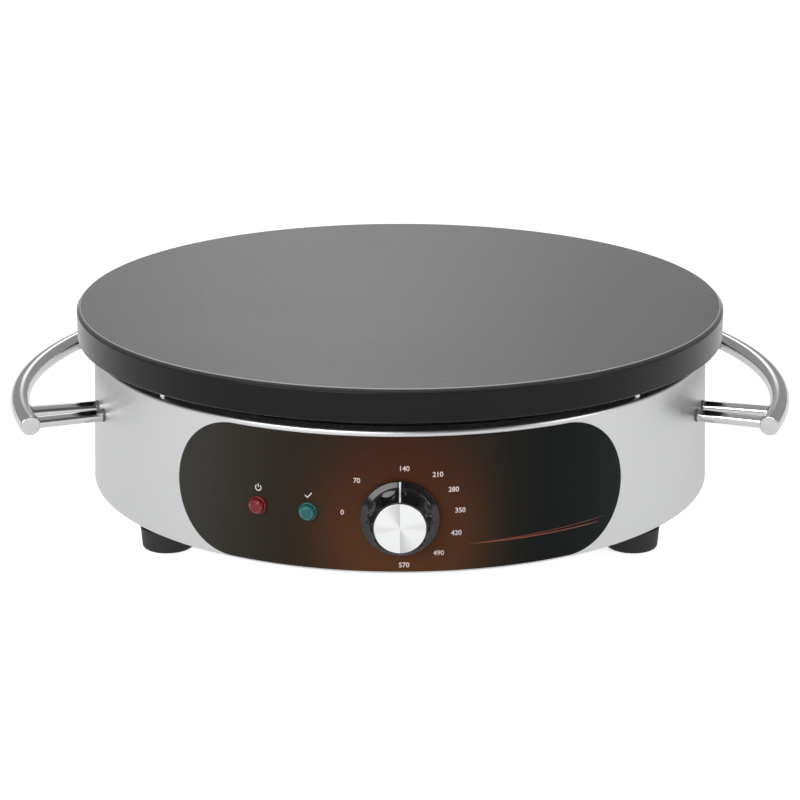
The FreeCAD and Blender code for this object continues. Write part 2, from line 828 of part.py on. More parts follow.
def element_path(radius, gap_angle):
    """Ring with a gap at the back, whose ends bend down into two legs."""
    level = element_level
    turn = element_bend * (1 - math.sqrt(0.5))
    bends = []
    legs = []
    for ring_end, leg in element_ends(radius, gap_angle):
        inward_way = (leg - ring_end).normalize()
        middle = lifted(ring_end + inward_way * (element_bend - turn), level - turn)
        bend_end = lifted(leg, level - element_bend)
        bends.append(Part.Arc(lifted(ring_end, level), middle, bend_end).toShape())
        legs.append(Part.LineSegment(bend_end, lifted(leg, element_foot)).toShape())
    first, last = [lifted(ring_end, level) for ring_end, leg in element_ends(radius, gap_angle)]
    ring = Part.Arc(first, at(0, radius, level), last).toShape()
    edges = [legs[0], bends[0], ring, bends[1], legs[1]]
    return Part.Wire(Part.__sortEdges__(edges))


def heating_elements():
    pins = []
    for name, radius, gap_angle in (("outer_heating_element", outer_element_radius, outer_gap_angle),
                                    ("inner_heating_element", inner_element_radius, inner_gap_angle)):
        save(name, pipe(element_path(radius, gap_angle), element_radius))
        for ring_end, leg in element_ends(radius, gap_angle):
            pin_end = lifted(leg, element_foot - terminal_length)
            pins.append(cylinder(terminal_radius, terminal_length, pin_end))
    save("element_terminals", *pins)


def slot_between(start, end, radius, low, high):
    """Upright slot with round ends at two places in plan."""
    along = (end - start).normalize()
    side = Vector(-along.y, along.x, 0) * radius
    corners = [lifted(point, low) for point in (start - side, end - side, end + side, start + side)]
    slot = Part.Face(Part.makePolygon(corners + corners[:1])).extrude(Vector(0, 0, high - low))
    ends = [cylinder(radius, high - low, lifted(point, low)) for point in (start, end)]
    return slot.multiFuse(ends)


def through_holes(shape, stud_hole, low, high):
    """Shape with the openings for studs, element ends and capillary tube."""
    shape = upright_holes(shape, stud_places(), stud_hole, low, high)
    ends = element_ends(outer_element_radius, outer_gap_angle)
    for ring_end, leg in ends + element_ends(inner_element_radius, inner_gap_angle):
        shape = shape.cut(slot_between(ring_end, leg, element_radius + element_hole_gap, low, high))
    capillary = Vector(capillary_turn_x, -sensor_distance, 0)
    return upright_holes(shape, [capillary], capillary_hole_radius, low, high)


def stud_nut_corner():
    return stud_nut_flats / math.sqrt(3)


def heater_stack():
    stud_hole = stud_radius + stud_hole_gap
    clamp = cylinder(clamp_radius, clamp_sheet, Vector(0, 0, clamp_bottom))
    save("element_clamp_plate", through_holes(clamp, stud_hole, clamp_bottom, clamp_top))
    blanket_radius = shield_radius - sheet - insulation_gap
    blanket = cylinder(blanket_radius, insulation_height, Vector(0, 0, insulation_bottom))
    pocket = stud_nut_corner() + nut_pocket_gap
    save("insulation_blanket", through_holes(blanket, pocket, insulation_bottom, clamp_bottom))
    pan = cylinder(shield_radius, shield_wall_height, Vector(0, 0, shield_bottom))
    pan = pan.cut(cylinder(shield_radius - sheet, shield_wall_height, Vector(0, 0, insulation_bottom)))
    save("heat_shield", through_holes(pan, stud_hole, shield_bottom, insulation_bottom))
    studs = []
    clamp_nuts = []
    shield_nuts = []
    tail = shield_bottom - stud_tail
    length = web_bottom + stud_engagement - tail
    for place in stud_places():
        studs.append(cylinder(stud_radius, length, lifted(place, tail)))
        for nuts, seat in ((clamp_nuts, clamp_bottom), (shield_nuts, shield_bottom)):
            nut = hexagon(stud_nut_flats, stud_nut_height, stud_radius)
            nut.translate(lifted(place, seat - stud_nut_height))
            nuts.append(nut)
    save("plate_studs", *studs)
    save("clamp_nuts", *clamp_nuts)
    save("shield_nuts", *shield_nuts)


def sensor_level():
    return web_bottom - sensor_radius


def clip_screw_place(side, z):
    reach = sensor_radius + clip_strap + clip_ear / 2
    return Vector(0, -sensor_distance + side * reach, z)


def sensing_bulb():
    level = sensor_level()
    start = Vector(-sensor_half_length, -sensor_distance, level)
    save("sensing_bulb", cylinder(sensor_radius, 2 * sensor_half_length, start, Vector(1, 0, 0)))
    entry_y = bracket_face() + bracket_sheet + thermostat_depth / 2
    top = knob_height + thermostat_width / 2
    low = top + capillary_rise
    points = [Vector(sensor_half_length, -sensor_distance, level),
              Vector(capillary_turn_x, -sensor_distance, level),
              Vector(capillary_turn_x, -sensor_distance, low),
              Vector(capillary_entry_x, entry_y, low), Vector(capillary_entry_x, entry_y, top)]
    save("capillary_tube", swept(points, capillary_bend, capillary_radius))


def clip_section():
    """Cross-section of the strap round the sensing bulb, in the plane of its -X side."""
    x = -clip_strap_width / 2
    level = sensor_level()
    inner = sensor_radius
    outer = sensor_radius + clip_strap
    reach = outer + clip_ear
    under = web_bottom - clip_strap

    def spot(y, z):
        return Vector(x, y - sensor_distance, z)

    def run(*points):
        return [Part.LineSegment(a, b).toShape() for a, b in zip(points, points[1:])]

    edges = [Part.Arc(spot(-outer, level), spot(0, level - outer), spot(outer, level)).toShape()]
    edges += run(spot(outer, level), spot(outer, under), spot(reach, under), spot(reach, web_bottom),
                 spot(inner, web_bottom), spot(inner, level))
    edges += [Part.Arc(spot(inner, level), spot(0, level - inner), spot(-inner, level)).toShape()]
    edges += run(spot(-inner, level), spot(-inner, web_bottom), spot(-reach, web_bottom),
                 spot(-reach, under), spot(-outer, under), spot(-outer, level))
    return Part.Face(Part.Wire(edges))


def bulb_clip():
    clip = clip_section().extrude(Vector(clip_strap_width, 0, 0))
    screws = []
    for side in (-1, 1):
        seat = clip_screw_place(side, web_bottom - clip_strap)
        clip = clip.cut(cylinder(clip_screw_radius + hole_gap, clip_strap, seat))
        screws.append(headed_screw(seat, clip_screw_head_radius, clip_screw_head_height,
                                   clip_screw_radius, clip_screw_length))
    save("bulb_clip", clip)
    save("bulb_clip_screws", *screws)


def thermal_cutout():
    half_length = cutout_flange_length / 2
    half_width = cutout_flange_width / 2
    can = cylinder(cutout_radius, cutout_height, Vector(0, cutout_y, shield_bottom - cutout_height))
    flange = box(Vector(-half_length, cutout_y - half_width, shield_bottom - cutout_flange_sheet),
                 Vector(half_length, cutout_y + half_width, shield_bottom))
    cutout = can.fuse(flange)
    screws = []
    for side in (-1, 1):
        seat = Vector(side * cutout_screw_spacing / 2, cutout_y, shield_bottom - cutout_flange_sheet)
        cutout = cutout.cut(cylinder(clip_screw_radius + hole_gap, cutout_flange_sheet, seat))
        screws.append(headed_screw(seat, clip_screw_head_radius, clip_screw_head_height,
                                   clip_screw_radius, cutout_flange_sheet))
    save("thermal_cutout", cutout.removeSplitter())
    save("cutout_screws", *screws)


def block_top():
    return base_top + block_height


def terminal_block():
    half = block_width / 2
    low = Vector(-half, block_y - block_depth / 2, base_top)
    block = box(low, Vector(half, block_y + block_depth / 2, block_top()))
    pitch = block_width / 4
    for index in range(3):
        x = pitch * (index - 1)
        groove = box(Vector(x - 1, block_y - block_depth, block_top() - block_height / 3),
                     Vector(x + 1, block_y + block_depth, block_top() + 1))
        block = block.cut(groove)
    save("terminal_block", block)
    screws = []
    for index in range(4):
        x = pitch * (index - 1.5)
        screws.append(cylinder(block_screw_radius, 2 * wire_radius, Vector(x, block_y, block_top())))
    save("terminal_screws", *screws)


def element_wires():
    """Leads from the four element pins to the terminal block, level and then down."""
    pitch = block_width / 4
    pin_end = element_foot - terminal_length
    level = (pin_end + block_top()) / 2
    leads = []
    for radius, gap_angle, reach, share in ((outer_element_radius, outer_gap_angle, 1, 1.5),
                                            (inner_element_radius, inner_gap_angle, -1, 0.5)):
        for ring_end, leg in element_ends(radius, gap_angle):
            side = 1 if leg.x > 0 else -1
            entry = Vector(side * pitch * share, block_y + reach * (block_depth / 2 - 2 * wire_radius), 0)
            points = [lifted(leg, pin_end), lifted(leg, level),
                      lifted(entry, level), lifted(entry, block_top())]
            leads.append(swept(points, wire_bend, wire_radius))
    save("element_wires", *leads)


def supply_wires():
    """Leads from the terminal block along the base plate and up to the thermostat."""
    back_face = bracket_face() + bracket_sheet + thermostat_depth
    front = block_y - block_depth / 2
    low = base_top + block_height / 2
    leads = []
    for side in (-1, 1):
        x = side * block_width / 8
        points = [Vector(x, front, low), Vector(x, back_face + supply_wire_rise_far, low),
                  Vector(x, back_face + supply_wire_rise_near, knob_height),
                  Vector(x, back_face, knob_height)]
        leads.append(swept(points, wire_bend, wire_radius))
    save("supply_wires", *leads)


def lamp_wires():
    """Leads from the two lamps to the thermostat's side, one above the other."""
    side_x = -thermostat_width / 2
    front = bracket_face() + bracket_sheet
    leads = []
    for azimuth, share, rise in zip(lamp_azimuths, (0.75, 0.4), (-lamp_wire_split, lamp_wire_split)):
        seat = wall_radius(lamp_height, panel_proud) - lamp_shank_length - screw_tip
        y = front + share * thermostat_depth
        points = [at(azimuth, seat, lamp_height), at(azimuth, seat - lamp_wire_run, lamp_height),
                  Vector(side_x - lamp_wire_run, y, knob_height + rise),
                  Vector(side_x, y, knob_height + rise)]
        leads.append(swept(points, wire_bend / 2, wire_radius))
    save("lamp_wires", *leads)


def earth_stud():
    """Stud through the base plate behind the block, with its nut on top."""
    stud = headed_screw(Vector(earth_x, block_y, base_bottom), earth_head_radius, earth_head_height,
                        earth_stud_radius, earth_stud_height)
    nut = hexagon(earth_nut_flats, earth_nut_height, earth_stud_radius)
    nut.translate(Vector(earth_x, block_y, base_top))
    save("earth_stud", stud)
    save("earth_nut", nut)


def cord_gland():
    way = outward(180.0)
    seat = at(180.0, wall_radius(gland_height), gland_height)
    flange = hexagon(gland_flange_flats, 2 * gland_flange_height, gland_bore_radius)
    outside = placed(flange, seat - way * gland_flange_height, way).cut(drum(0, hem_bottom, body_top))
    nose_height = gland_cap_height - gland_flange_height
    nose_seat = seat + way * gland_flange_height
    nose = Part.makeCone(gland_cap_radius, gland_nose_radius, nose_height, nose_seat, way)
    tail = seat - way * gland_thread_length
    thread = cylinder(gland_thread_radius, gland_thread_length + gland_flange_height, tail, way)
    bore = cylinder(gland_bore_radius, gland_thread_length + gland_cap_height, tail, way)
    save("cord_gland", outside.fuse(nose).fuse(thread).cut(bore).removeSplitter())
    inner = at(180.0, wall_radius(gland_height, -sheet) - gland_nut_height, gland_height)
    ring = tube(gland_nut_radius, gland_thread_radius, gland_nut_height + sheet, inner, way)
    save("gland_nut", ring.common(cavity()))


cooking_plate()
plate_spacers()
body_shell()
base_plate()
base_screws()
feet()
handles()
control_panel()
thermostat_bracket()
thermostat()
thermostat_shaft()
knob()
lamps()
heating_elements()
heater_stack()
sensing_bulb()
bulb_clip()
thermal_cutout()
terminal_block()
element_wires()
supply_wires()
lamp_wires()
earth_stud()
cord_gland()
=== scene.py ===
import bmesh
import bpy
import json
import math
import numpy as np
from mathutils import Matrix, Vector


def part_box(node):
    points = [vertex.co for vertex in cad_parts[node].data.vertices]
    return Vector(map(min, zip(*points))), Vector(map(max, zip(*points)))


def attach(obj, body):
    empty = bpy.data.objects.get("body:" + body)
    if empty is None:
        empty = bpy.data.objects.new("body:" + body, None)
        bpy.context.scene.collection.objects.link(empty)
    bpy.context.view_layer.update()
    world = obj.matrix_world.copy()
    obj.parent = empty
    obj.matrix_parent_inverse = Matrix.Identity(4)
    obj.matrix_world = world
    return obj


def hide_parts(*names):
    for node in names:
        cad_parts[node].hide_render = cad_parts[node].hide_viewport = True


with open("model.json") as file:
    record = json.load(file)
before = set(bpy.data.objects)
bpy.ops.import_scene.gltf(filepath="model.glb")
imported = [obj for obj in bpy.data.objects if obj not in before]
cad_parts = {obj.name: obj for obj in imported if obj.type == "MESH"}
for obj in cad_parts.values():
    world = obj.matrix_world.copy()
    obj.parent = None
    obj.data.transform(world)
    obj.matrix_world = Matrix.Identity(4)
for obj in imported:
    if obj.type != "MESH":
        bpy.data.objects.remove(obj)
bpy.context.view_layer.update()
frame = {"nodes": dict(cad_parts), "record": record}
cadNodes = frame["nodes"]
mm = 0.001
print("frame: %d nodes" % len(cadNodes))

# Places that the frame gives, in metres
plateLow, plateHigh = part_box("cooking_plate")
shellLow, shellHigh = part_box("body_shell")
panelLow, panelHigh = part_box("control_panel")
knobLow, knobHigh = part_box("knob")
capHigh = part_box("knob_cap")[1]
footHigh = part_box("feet")[1]
barLow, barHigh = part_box("right_handle_bar")
panelMiddle = (panelLow[2] + panelHigh[2]) / 2
knobHeight = (knobLow[2] + knobHigh[2]) / 2

drum = {
    "footRadius": 196.0 * mm,
    "flare": 3.0 * mm,
    "low": shellLow[2],
    "high": shellHigh[2],
    "sheet": 1.2 * mm,
    "shoulder": 2.0 * mm,
    "hemEdge": 0.5 * mm,
    "flangeInner": 183.6 * mm,
    "hemInner": 170.0 * mm,
}


# outer radius of the drum: it shrinks evenly from the foot to the shoulder
def wallRadius(z):
    return drum["footRadius"] - drum["flare"] * (z - drum["low"]) / (drum["high"] - drum["low"])


# Mesh helpers

# angles of one full turn in equal steps
def fullTurn(steps):
    return np.linspace(0, 2 * np.pi, steps, endpoint=False)


def addObject(name, data):
    item = bpy.data.objects.new(name, data)
    bpy.context.scene.collection.objects.link(item)
    return item


def addMesh(name, vertices, faces):
    mesh = bpy.data.meshes.new(name)
    mesh.from_pydata(vertices, [], faces)
    return addObject(name, mesh)


# quads between neighbouring rows and columns of a grid: its columns close, and its rows may
def gridQuads(rows, cols, closed):
    i = np.arange(rows if closed else rows - 1)[:, None]
    j = np.arange(cols)[None, :]
    nextI = (i + 1) % rows
    nextJ = (j + 1) % cols
    quads = np.stack([i * cols + j, i * cols + nextJ, nextI * cols + nextJ, nextI * cols + j], axis=-1)
    return quads.reshape(-1, 4)


# one piece from several grids of points; their rows close, or else end in flat caps
def pieceFromGrids(name, grids, closed=False, sharpAngle=32):
    faces = []
    base = 0
    for points in grids:
        rows, cols = points.shape[:2]
        faces += (gridQuads(rows, cols, closed) + base).tolist()
        if not closed:
            faces.append(list(range(base + cols - 1, base - 1, -1)))
            faces.append(list(range(base + (rows - 1) * cols, base + rows * cols)))
        base += rows * cols
    vertices = np.concatenate([points.reshape(-1, 3) for points in grids])
    piece = addMesh(name, vertices.tolist(), faces)
    work = bmesh.new()
    work.from_mesh(piece.data)
    bmesh.ops.recalc_face_normals(work, faces=work.faces)
    work.to_mesh(piece.data)
    work.free()
    piece.data.shade_smooth()
    piece.data.set_sharp_from_angle(angle=math.radians(sharpAngle))
    return piece


# corners (a, b, radius) become arcs that touch both sides, with a guard point on each side of an arc
def roundedPath(corners, closed=False, steps=6, guard=0.25 * mm):
    path = []
    count = len(corners)
    for k, (a, b, radius) in enumerate(corners):
        here = np.array([a, b], float)
        if radius <= 0 or (not closed and k in (0, count - 1)):
            path.append(here[None, :])
            continue
        before = np.array(corners[k - 1][:2], float) - here
        after = np.array(corners[(k + 1) % count][:2], float) - here
        before /= np.linalg.norm(before)
        after /= np.linalg.norm(after)
        half = math.acos(np.clip(before @ after, -1, 1)) / 2
        reach = radius / math.tan(half)
        middle = (before + after) / np.linalg.norm(before + after)
        centre = here + middle * radius / math.sin(half)
        start = here + before * reach - centre
        end = here + after * reach - centre
        turn = math.pi - 2 * half
        t = np.linspace(0, 1, steps + 1)[:, None]
        arc = centre + (np.sin((1 - t) * turn) * start + np.sin(t * turn) * end) / math.sin(turn)
        guards = [(here + way * (reach + guard))[None, :] for way in (before, after)]
        path += [guards[0], arc, guards[1]]
    return np.concatenate(path)


# a (radius, height) path turned about an upright axis: x = r cos t, y = r sin t, z = h
def turnedGrid(path, segments, centre=(0.0, 0.0)):
    t = fullTurn(segments)[None, :]
    r = path[:, 0][:, None]
    h = path[:, 1][:, None] + 0 * t
    return np.stack([centre[0] + r * np.cos(t), centre[1] + r * np.sin(t), h], axis=-1)


# local (across, up, out) points set on the drum: out is the radius at an azimuth from the front
def radialPlace(points, azimuth, reach, height):
    a = math.radians(azimuth)
    across = np.array([math.cos(a), math.sin(a), 0.0])
    out = np.array([math.sin(a), -math.cos(a), 0.0])
    up = np.array([0.0, 0.0, 1.0])
    return (points[..., :1] * across + points[..., 1:2] * up + (points[..., 2:] + reach) * out
            + height * up)


# a (radius, height) path turned about the out axis of such a place: the angle t runs clockwise
# from twelve o'clock, and scale(path, t) may change the radius with it
def outwardGrid(path, segments, azimuth, reach, height, scale=None):
    t = fullTurn(segments)[None, :]
    r = path[:, 0][:, None] * (1.0 if scale is None else scale(path, t))
    h = path[:, 1][:, None] + 0 * t
    return radialPlace(np.stack([r * np.sin(t), r * np.cos(t), h], axis=-1), azimuth, reach, height)


# a flat (s, z) point wrapped on the drum's wall and lifted off it: s is the arc at the panel's middle
def onWall(s, z, lift):
    azimuth = s / wallRadius(panelMiddle)
    r = wallRadius(z) + lift
    return np.stack([r * np.sin(azimuth), -r * np.cos(azimuth), z + 0 * azimuth], axis=-1)


# the piece gets its finish, rides on its body and stands for its CAD nodes
def dress(piece, body, slotName, material, *replaced):
    piece.data.materials.clear()
    piece.data.materials.append(material)
    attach(piece, body)
    if replaced:
        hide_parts(*replaced)


# Shader helpers: each finds the node tree through a node or socket that it is given

def addNode(beside, kind):
    return beside.id_data.nodes.new("ShaderNode" + kind)


def wire(source, target):
    if isinstance(source, bpy.types.NodeSocket):
        target.id_data.links.new(source, target)
    else:
        target.default_value = source


def calc(operation, *terms, clamp=False):
    beside = next(term for term in terms if isinstance(term, bpy.types.NodeSocket))
    node = addNode(beside, "Math")
    node.operation = operation
    node.use_clamp = clamp
    for socket, term in zip(node.inputs, terms):
        wire(term, socket)
    return node.outputs[0]


def plus(first, second):
    return calc("ADD", first, second)


def minus(first, second):
    return calc("SUBTRACT", first, second)


def times(first, second):
    return calc("MULTIPLY", first, second)


# a share of the first value and the rest of the second
def blend(first, second, share):
    return plus(times(first, share), times(second, 1.0 - share))


# a bell curve: e to the power of minus the value squared
def bell(value):
    return calc("EXPONENT", times(times(value, value), -1.0))


def spread(value, fromLow, fromHigh, toLow=0.0, toHigh=1.0, smooth=False):
    node = addNode(value, "MapRange")
    node.interpolation_type = "SMOOTHSTEP" if smooth else "LINEAR"
    for socket, term in zip(node.inputs, (value, fromLow, fromHigh, toLow, toHigh)):
        wire(term, socket)
    return node.outputs[0]


# a colour is a socket or three numbers
def mixColours(factor, first, second):
    node = addNode(factor, "Mix")
    node.data_type = "RGBA"
    wire(factor, node.inputs[0])
    for socket, colour in ((node.inputs[6], first), (node.inputs[7], second)):
        wire((*colour, 1) if isinstance(colour, tuple) else colour, socket)
    return node.outputs[2]


def axes(vector):
    parts = addNode(vector, "SeparateXYZ")
    wire(vector, parts.inputs[0])
    return parts.outputs


def addNoise(vector, scale, detail, roughness=0.5):
    noise = addNode(vector, "TexNoise")
    given = {"Vector": vector, "Scale": scale, "Detail": detail, "Roughness": roughness}
    for label, value in given.items():
        wire(value, noise.inputs[label])
    return noise.outputs["Fac"]


# a node group that turns a Vector and the values named here into one Value
def newGroup(name, values):
    group = bpy.data.node_groups.new(name, "ShaderNodeTree")
    group.interface.new_socket("Vector", in_out="INPUT", socket_type="NodeSocketVector")
    for label, value in values.items():
        kind = "NodeSocketVector" if isinstance(value, tuple) else "NodeSocketFloat"
        group.interface.new_socket(label, in_out="INPUT", socket_type=kind).default_value = value
    group.interface.new_socket("Value", in_out="OUTPUT", socket_type="NodeSocketFloat")
    return group, group.nodes.new("NodeGroupInput").outputs, group.nodes.new("NodeGroupOutput").inputs[0]


# noise stretched along some axes: the strokes of a brush or a belt
def makeStrokes():
    group, given, result = newGroup("brushStrokes", {"Stretch": (1, 1, 1)})
    scaled = addNode(result, "VectorMath")
    scaled.operation = "MULTIPLY"
    wire(given["Vector"], scaled.inputs[0])
    wire(given["Stretch"], scaled.inputs[1])
    wire(addNoise(scaled.outputs[0], 1.0, 3.0), result)
    return group


# soft cloudy variation between 0 and 1, with its contrast set by Low and High
def makeClouds():
    group, given, result = newGroup("softClouds", {"Scale": 20.0, "Low": 0.35, "High": 0.65})
    noise = addNoise(given["Vector"], given["Scale"], 4.0, 0.55)
    wire(spread(noise, given["Low"], given["High"]), result)
    return group


# rings round the vector's Z axis: noise of the distance from it, wandering slowly with the angle
def makeRings():
    group, given, result = newGroup("turnedRings", {"Density": 2000.0, "Wander": 3.0})
    x, y = axes(given["Vector"])[:2]
    radius = calc("SQRT", plus(times(x, x), times(y, y)))
    joined = addNode(radius, "CombineXYZ")
    for socket, length, factor in zip(joined.inputs, (radius, x, y), ("Density", "Wander", "Wander")):
        wire(times(length, given[factor]), socket)
    wire(addNoise(joined.outputs[0], 1.0, 3.0), result)
    return group


strokes = makeStrokes()
clouds = makeClouds()
rings = makeRings()


def placeGroup(group, vector, values):
    node = addNode(vector, "Group")
    node.node_tree = group
    wire(vector, node.inputs["Vector"])
    for key, value in values.items():
        wire(value, node.inputs[key])
    return node.outputs["Value"]


def newMaterial(name, shader):
    material = bpy.data.materials.new(name)
    material.use_nodes = True
    surface = material.node_tree.nodes["Principled BSDF"]
    for key, value in shader.items():
        surface.inputs[key].default_value = value
    coords = addNode(surface, "TexCoord").outputs["Object"]
    return material, surface, coords


# a bump is (strength, depth in mm)
def addBump(surface, height, strength, depth):
    bump = addNode(height, "Bump")
    bump.inputs["Strength"].default_value = strength
    bump.inputs["Distance"].default_value = depth * mm
    wire(height, bump.inputs["Height"])
    wire(bump.outputs[0], surface.inputs["Normal"])


# the object's coordinates, moved so that a piece's own centre is the zero, and turned about it
def centred(coords, centre, turn):
    shift = addNode(coords, "VectorMath")
    shift.operation = "SUBTRACT"
    wire(coords, shift.inputs[0])
    wire(centre, shift.inputs[1])
    mapping = addNode(coords, "Mapping")
    wire(turn, mapping.inputs["Rotation"])
    wire(shift.outputs[0], mapping.inputs["Vector"])
    return mapping.outputs[0]


metal = {"Metallic": 1.0}


def dull(level):
    return {"Specular IOR Level": level}


# Finishes that only need strokes or clouds: (first tone, second tone, both roughnesses, the strokes'
# stretch or the clouds' scale, bump, shader values)
finishes = {
    "brushedDrum": ((0.63, 0.635, 0.64), (0.67, 0.675, 0.68), (0.33, 0.39),
                    (14, 14, 2600), (0.04, 0.02), metal),
    "polishedSteel": ((0.60, 0.605, 0.61), (0.68, 0.68, 0.685), (0.07, 0.14),
                      (60, 60, 900), (0.03, 0.02), metal),
    "weldedSteel": ((0.26, 0.25, 0.245), (0.44, 0.43, 0.42), (0.25, 0.4), 900, (0.3, 0.1), metal),
    "zincSheet": ((0.42, 0.43, 0.45), (0.62, 0.63, 0.65), (0.35, 0.55), 120, (0.08, 0.05), metal),
    "zincScrew": ((0.50, 0.50, 0.49), (0.66, 0.66, 0.64), (0.25, 0.42), 500, (0.1, 0.03), metal),
    "brightSteel": ((0.62, 0.62, 0.63), (0.72, 0.72, 0.73), (0.14, 0.24),
                    (900, 900, 60), (0.05, 0.02), metal),
    "darkPan": ((0.012, 0.012, 0.012), (0.028, 0.027, 0.026), (0.5, 0.75), 160, (0.12, 0.1), dull(0.3)),
    "darkSheath": ((0.05, 0.045, 0.04), (0.12, 0.10, 0.085), (0.45, 0.7),
                   220, (0.2, 0.1), {"Metallic": 0.8}),
    "feltedWool": ((0.52, 0.47, 0.36), (0.74, 0.69, 0.57), (0.9, 1.0), 1100, (0.8, 0.5), dull(0.1)),
    "blackRubber": ((0.010, 0.010, 0.011), (0.022, 0.022, 0.023), (0.48, 0.66),
                    700, (0.15, 0.05), dull(0.4)),
    "darkWasher": ((0.09, 0.09, 0.092), (0.15, 0.15, 0.152), (0.4, 0.6), 900, (0.1, 0.03), dull(0.4)),
    "mouldedBlack": ((0.016, 0.016, 0.017), (0.034, 0.034, 0.035), (0.36, 0.52),
                     2600, (0.25, 0.04), dull(0.45)),
    "glossyBlack": ((0.005, 0.005, 0.006), (0.010, 0.010, 0.011), (0.12, 0.19),
                    260, (0.02, 0.03), {"Coat Weight": 0.20, "Coat Roughness": 0.08}),
    "whitePaint": ((0.78, 0.77, 0.77), (0.90, 0.90, 0.90), (0.35, 0.5), 1500, (0.05, 0.02), dull(0.4)),
    "printedFigures": ((0.74, 0.62, 0.60), (0.84, 0.74, 0.72), (0.4, 0.5), 1500, (0.05, 0.01), dull(0.3)),
    "printedSigns": ((0.80, 0.78, 0.79), (0.90, 0.89, 0.90), (0.4, 0.5), 1500, (0.05, 0.01), dull(0.3)),
    "printedStripe": ((0.17, 0.050, 0.026), (0.24, 0.072, 0.036), (0.4, 0.5), 300, (0.05, 0.01), dull(0.3)),
    "dullCopper": ((0.42, 0.20, 0.12), (0.66, 0.36, 0.24), (0.28, 0.45), 300, (0.08, 0.03), metal),
    "plainBrass": ((0.55, 0.38, 0.16), (0.74, 0.56, 0.28), (0.25, 0.4), 400, (0.08, 0.03), metal),
    "glazedCeramic": ((0.70, 0.68, 0.62), (0.82, 0.81, 0.77), (0.2, 0.35), 200, (0.05, 0.05), {}),
    "siliconeSleeve": ((0.56, 0.53, 0.47), (0.70, 0.68, 0.62), (0.55, 0.7), 500, (0.1, 0.05), dull(0.35)),
    "clearBulb": ((0.75, 0.68, 0.62), (0.88, 0.84, 0.80), (0.12, 0.25),
                  300, (0.02, 0.02), {"Coat Weight": 0.5}),
}

# Every finish also drifts slowly over the piece, by its share of the tone
drift = {"scale": 9.0, "share": 0.3}


def finishFrom(name):
    first, second, rough, grain, bump, shader = finishes[name]
    material, surface, coords = newMaterial(name, shader)
    if isinstance(grain, tuple):
        pattern = spread(placeGroup(strokes, coords, {"Stretch": grain}), 0.3, 0.7)
    else:
        pattern = placeGroup(clouds, coords, {"Scale": grain})
    slow = placeGroup(clouds, coords, {"Scale": drift["scale"]})
    mixed = blend(pattern, slow, 1.0 - drift["share"])
    wire(mixColours(mixed, first, second), surface.inputs["Base Color"])
    wire(spread(mixed, 0.0, 1.0, *rough), surface.inputs["Roughness"])
    addBump(surface, pattern, *bump)
    return material


# Machined cast iron: fine turning rings, a few cloudy patches, and a pale line of metal along the chamfer's
# top edge, which is a painted highlight. A band is two depths in mm under the plate's top, between which an
# effect sets in
castPlate = {
    "shader": {"IOR": 1.30, "Sheen Weight": 0.4, "Sheen Roughness": 0.35},
    "dark": (0.024, 0.026, 0.027),
    "pale": (0.056, 0.060, 0.062),
    "rings": {"Density": 1500.0, "Wander": 4.0},
    "ringShare": 0.45,
    "patches": {"Scale": 11.0, "Low": 0.3, "High": 0.7},
    "spots": {"Scale": 340.0, "Low": 0.45, "High": 0.8},
    "spotTone": (0.11, 0.105, 0.10),
    "spotShare": 0.12,
    "chamferTone": (0.050, 0.051, 0.051),
    "chamferBand": (0.4, 0.05),
    "edgeHighlightTone": (0.52, 0.52, 0.52),
    "edgeHighlightMetal": 0.3,
    "edgeHighlightStart": (0.10, 0.02),
    "edgeHighlightEnd": (0.70, 0.45),
    "rimTone": (0.002, 0.002, 0.002),
    "rimBand": (2.8, 1.2),
    "rough": (0.22, 0.34),
    "rimRough": 0.18,
    "bump": (0.06, 0.02),
}


def plateMaterial():
    c = castPlate
    material, surface, coords = newMaterial("machinedCastIron", c["shader"])
    fine = spread(placeGroup(rings, coords, c["rings"]), 0.3, 0.7)
    tone = blend(fine, placeGroup(clouds, coords, c["patches"]), c["ringShare"])
    top = mixColours(tone, c["dark"], c["pale"])
    spots = placeGroup(clouds, coords, c["spots"])
    top = mixColours(times(spots, c["spotShare"]), top, c["spotTone"])
    height = axes(coords)[2]

    def under(band):
        return spread(height, plateHigh[2] - band[0] * mm, plateHigh[2] - band[1] * mm, 1.0, 0.0)

    # painted highlight: a pale, partly metallic band along the top edge of the chamfer
    edge = calc("SUBTRACT", under(c["edgeHighlightStart"]), under(c["edgeHighlightEnd"]), clamp=True)
    side = mixColours(under(c["chamferBand"]), top, c["chamferTone"])
    side = mixColours(edge, side, c["edgeHighlightTone"])
    wire(times(edge, c["edgeHighlightMetal"]), surface.inputs["Metallic"])
    below = under(c["rimBand"])
    wire(mixColours(below, side, c["rimTone"]), surface.inputs["Base Color"])
    rough = spread(tone, 0.0, 1.0, *c["rough"])
    wire(spread(below, 0.0, 1.0, rough, c["rimRough"]), surface.inputs["Roughness"])
    addBump(surface, fine, *c["bump"])
    return material


# Printed overlay: a dark ground, grey to the left and blue-black to the right, with a warm glow at the
# knob. The grey at the left is the print's tone with a painted reflection of the bright left side in it. A
# turn is (start, end, tone): between these distances in mm from the middle, the ground changes
overlay = {
    "leftPrintAndReflection": (0.040, 0.038, 0.032),
    "turns": [(-135, -58, (0.026, 0.019, 0.013)), (28, 88, (0.0072, 0.0088, 0.0085)),
              (88, 140, (0.011, 0.0155, 0.0155))],
    "glowHigh": (0.068, 0.0185, 0.0085),
    "glowLow": (0.106, 0.039, 0.0145),
    "glowHalfWidth": 48.0 * mm,
    "glowHalfHeight": 58.0 * mm,
    "glowMiddle": 46.0 * mm,
    "patches": {"Scale": 28.0, "Low": 0.25, "High": 0.75},
    "patchLeast": 0.82,
    "rough": (0.26, 0.34),
    "grain": {"Scale": 1800.0},
    "bump": (0.03, 0.01),
}


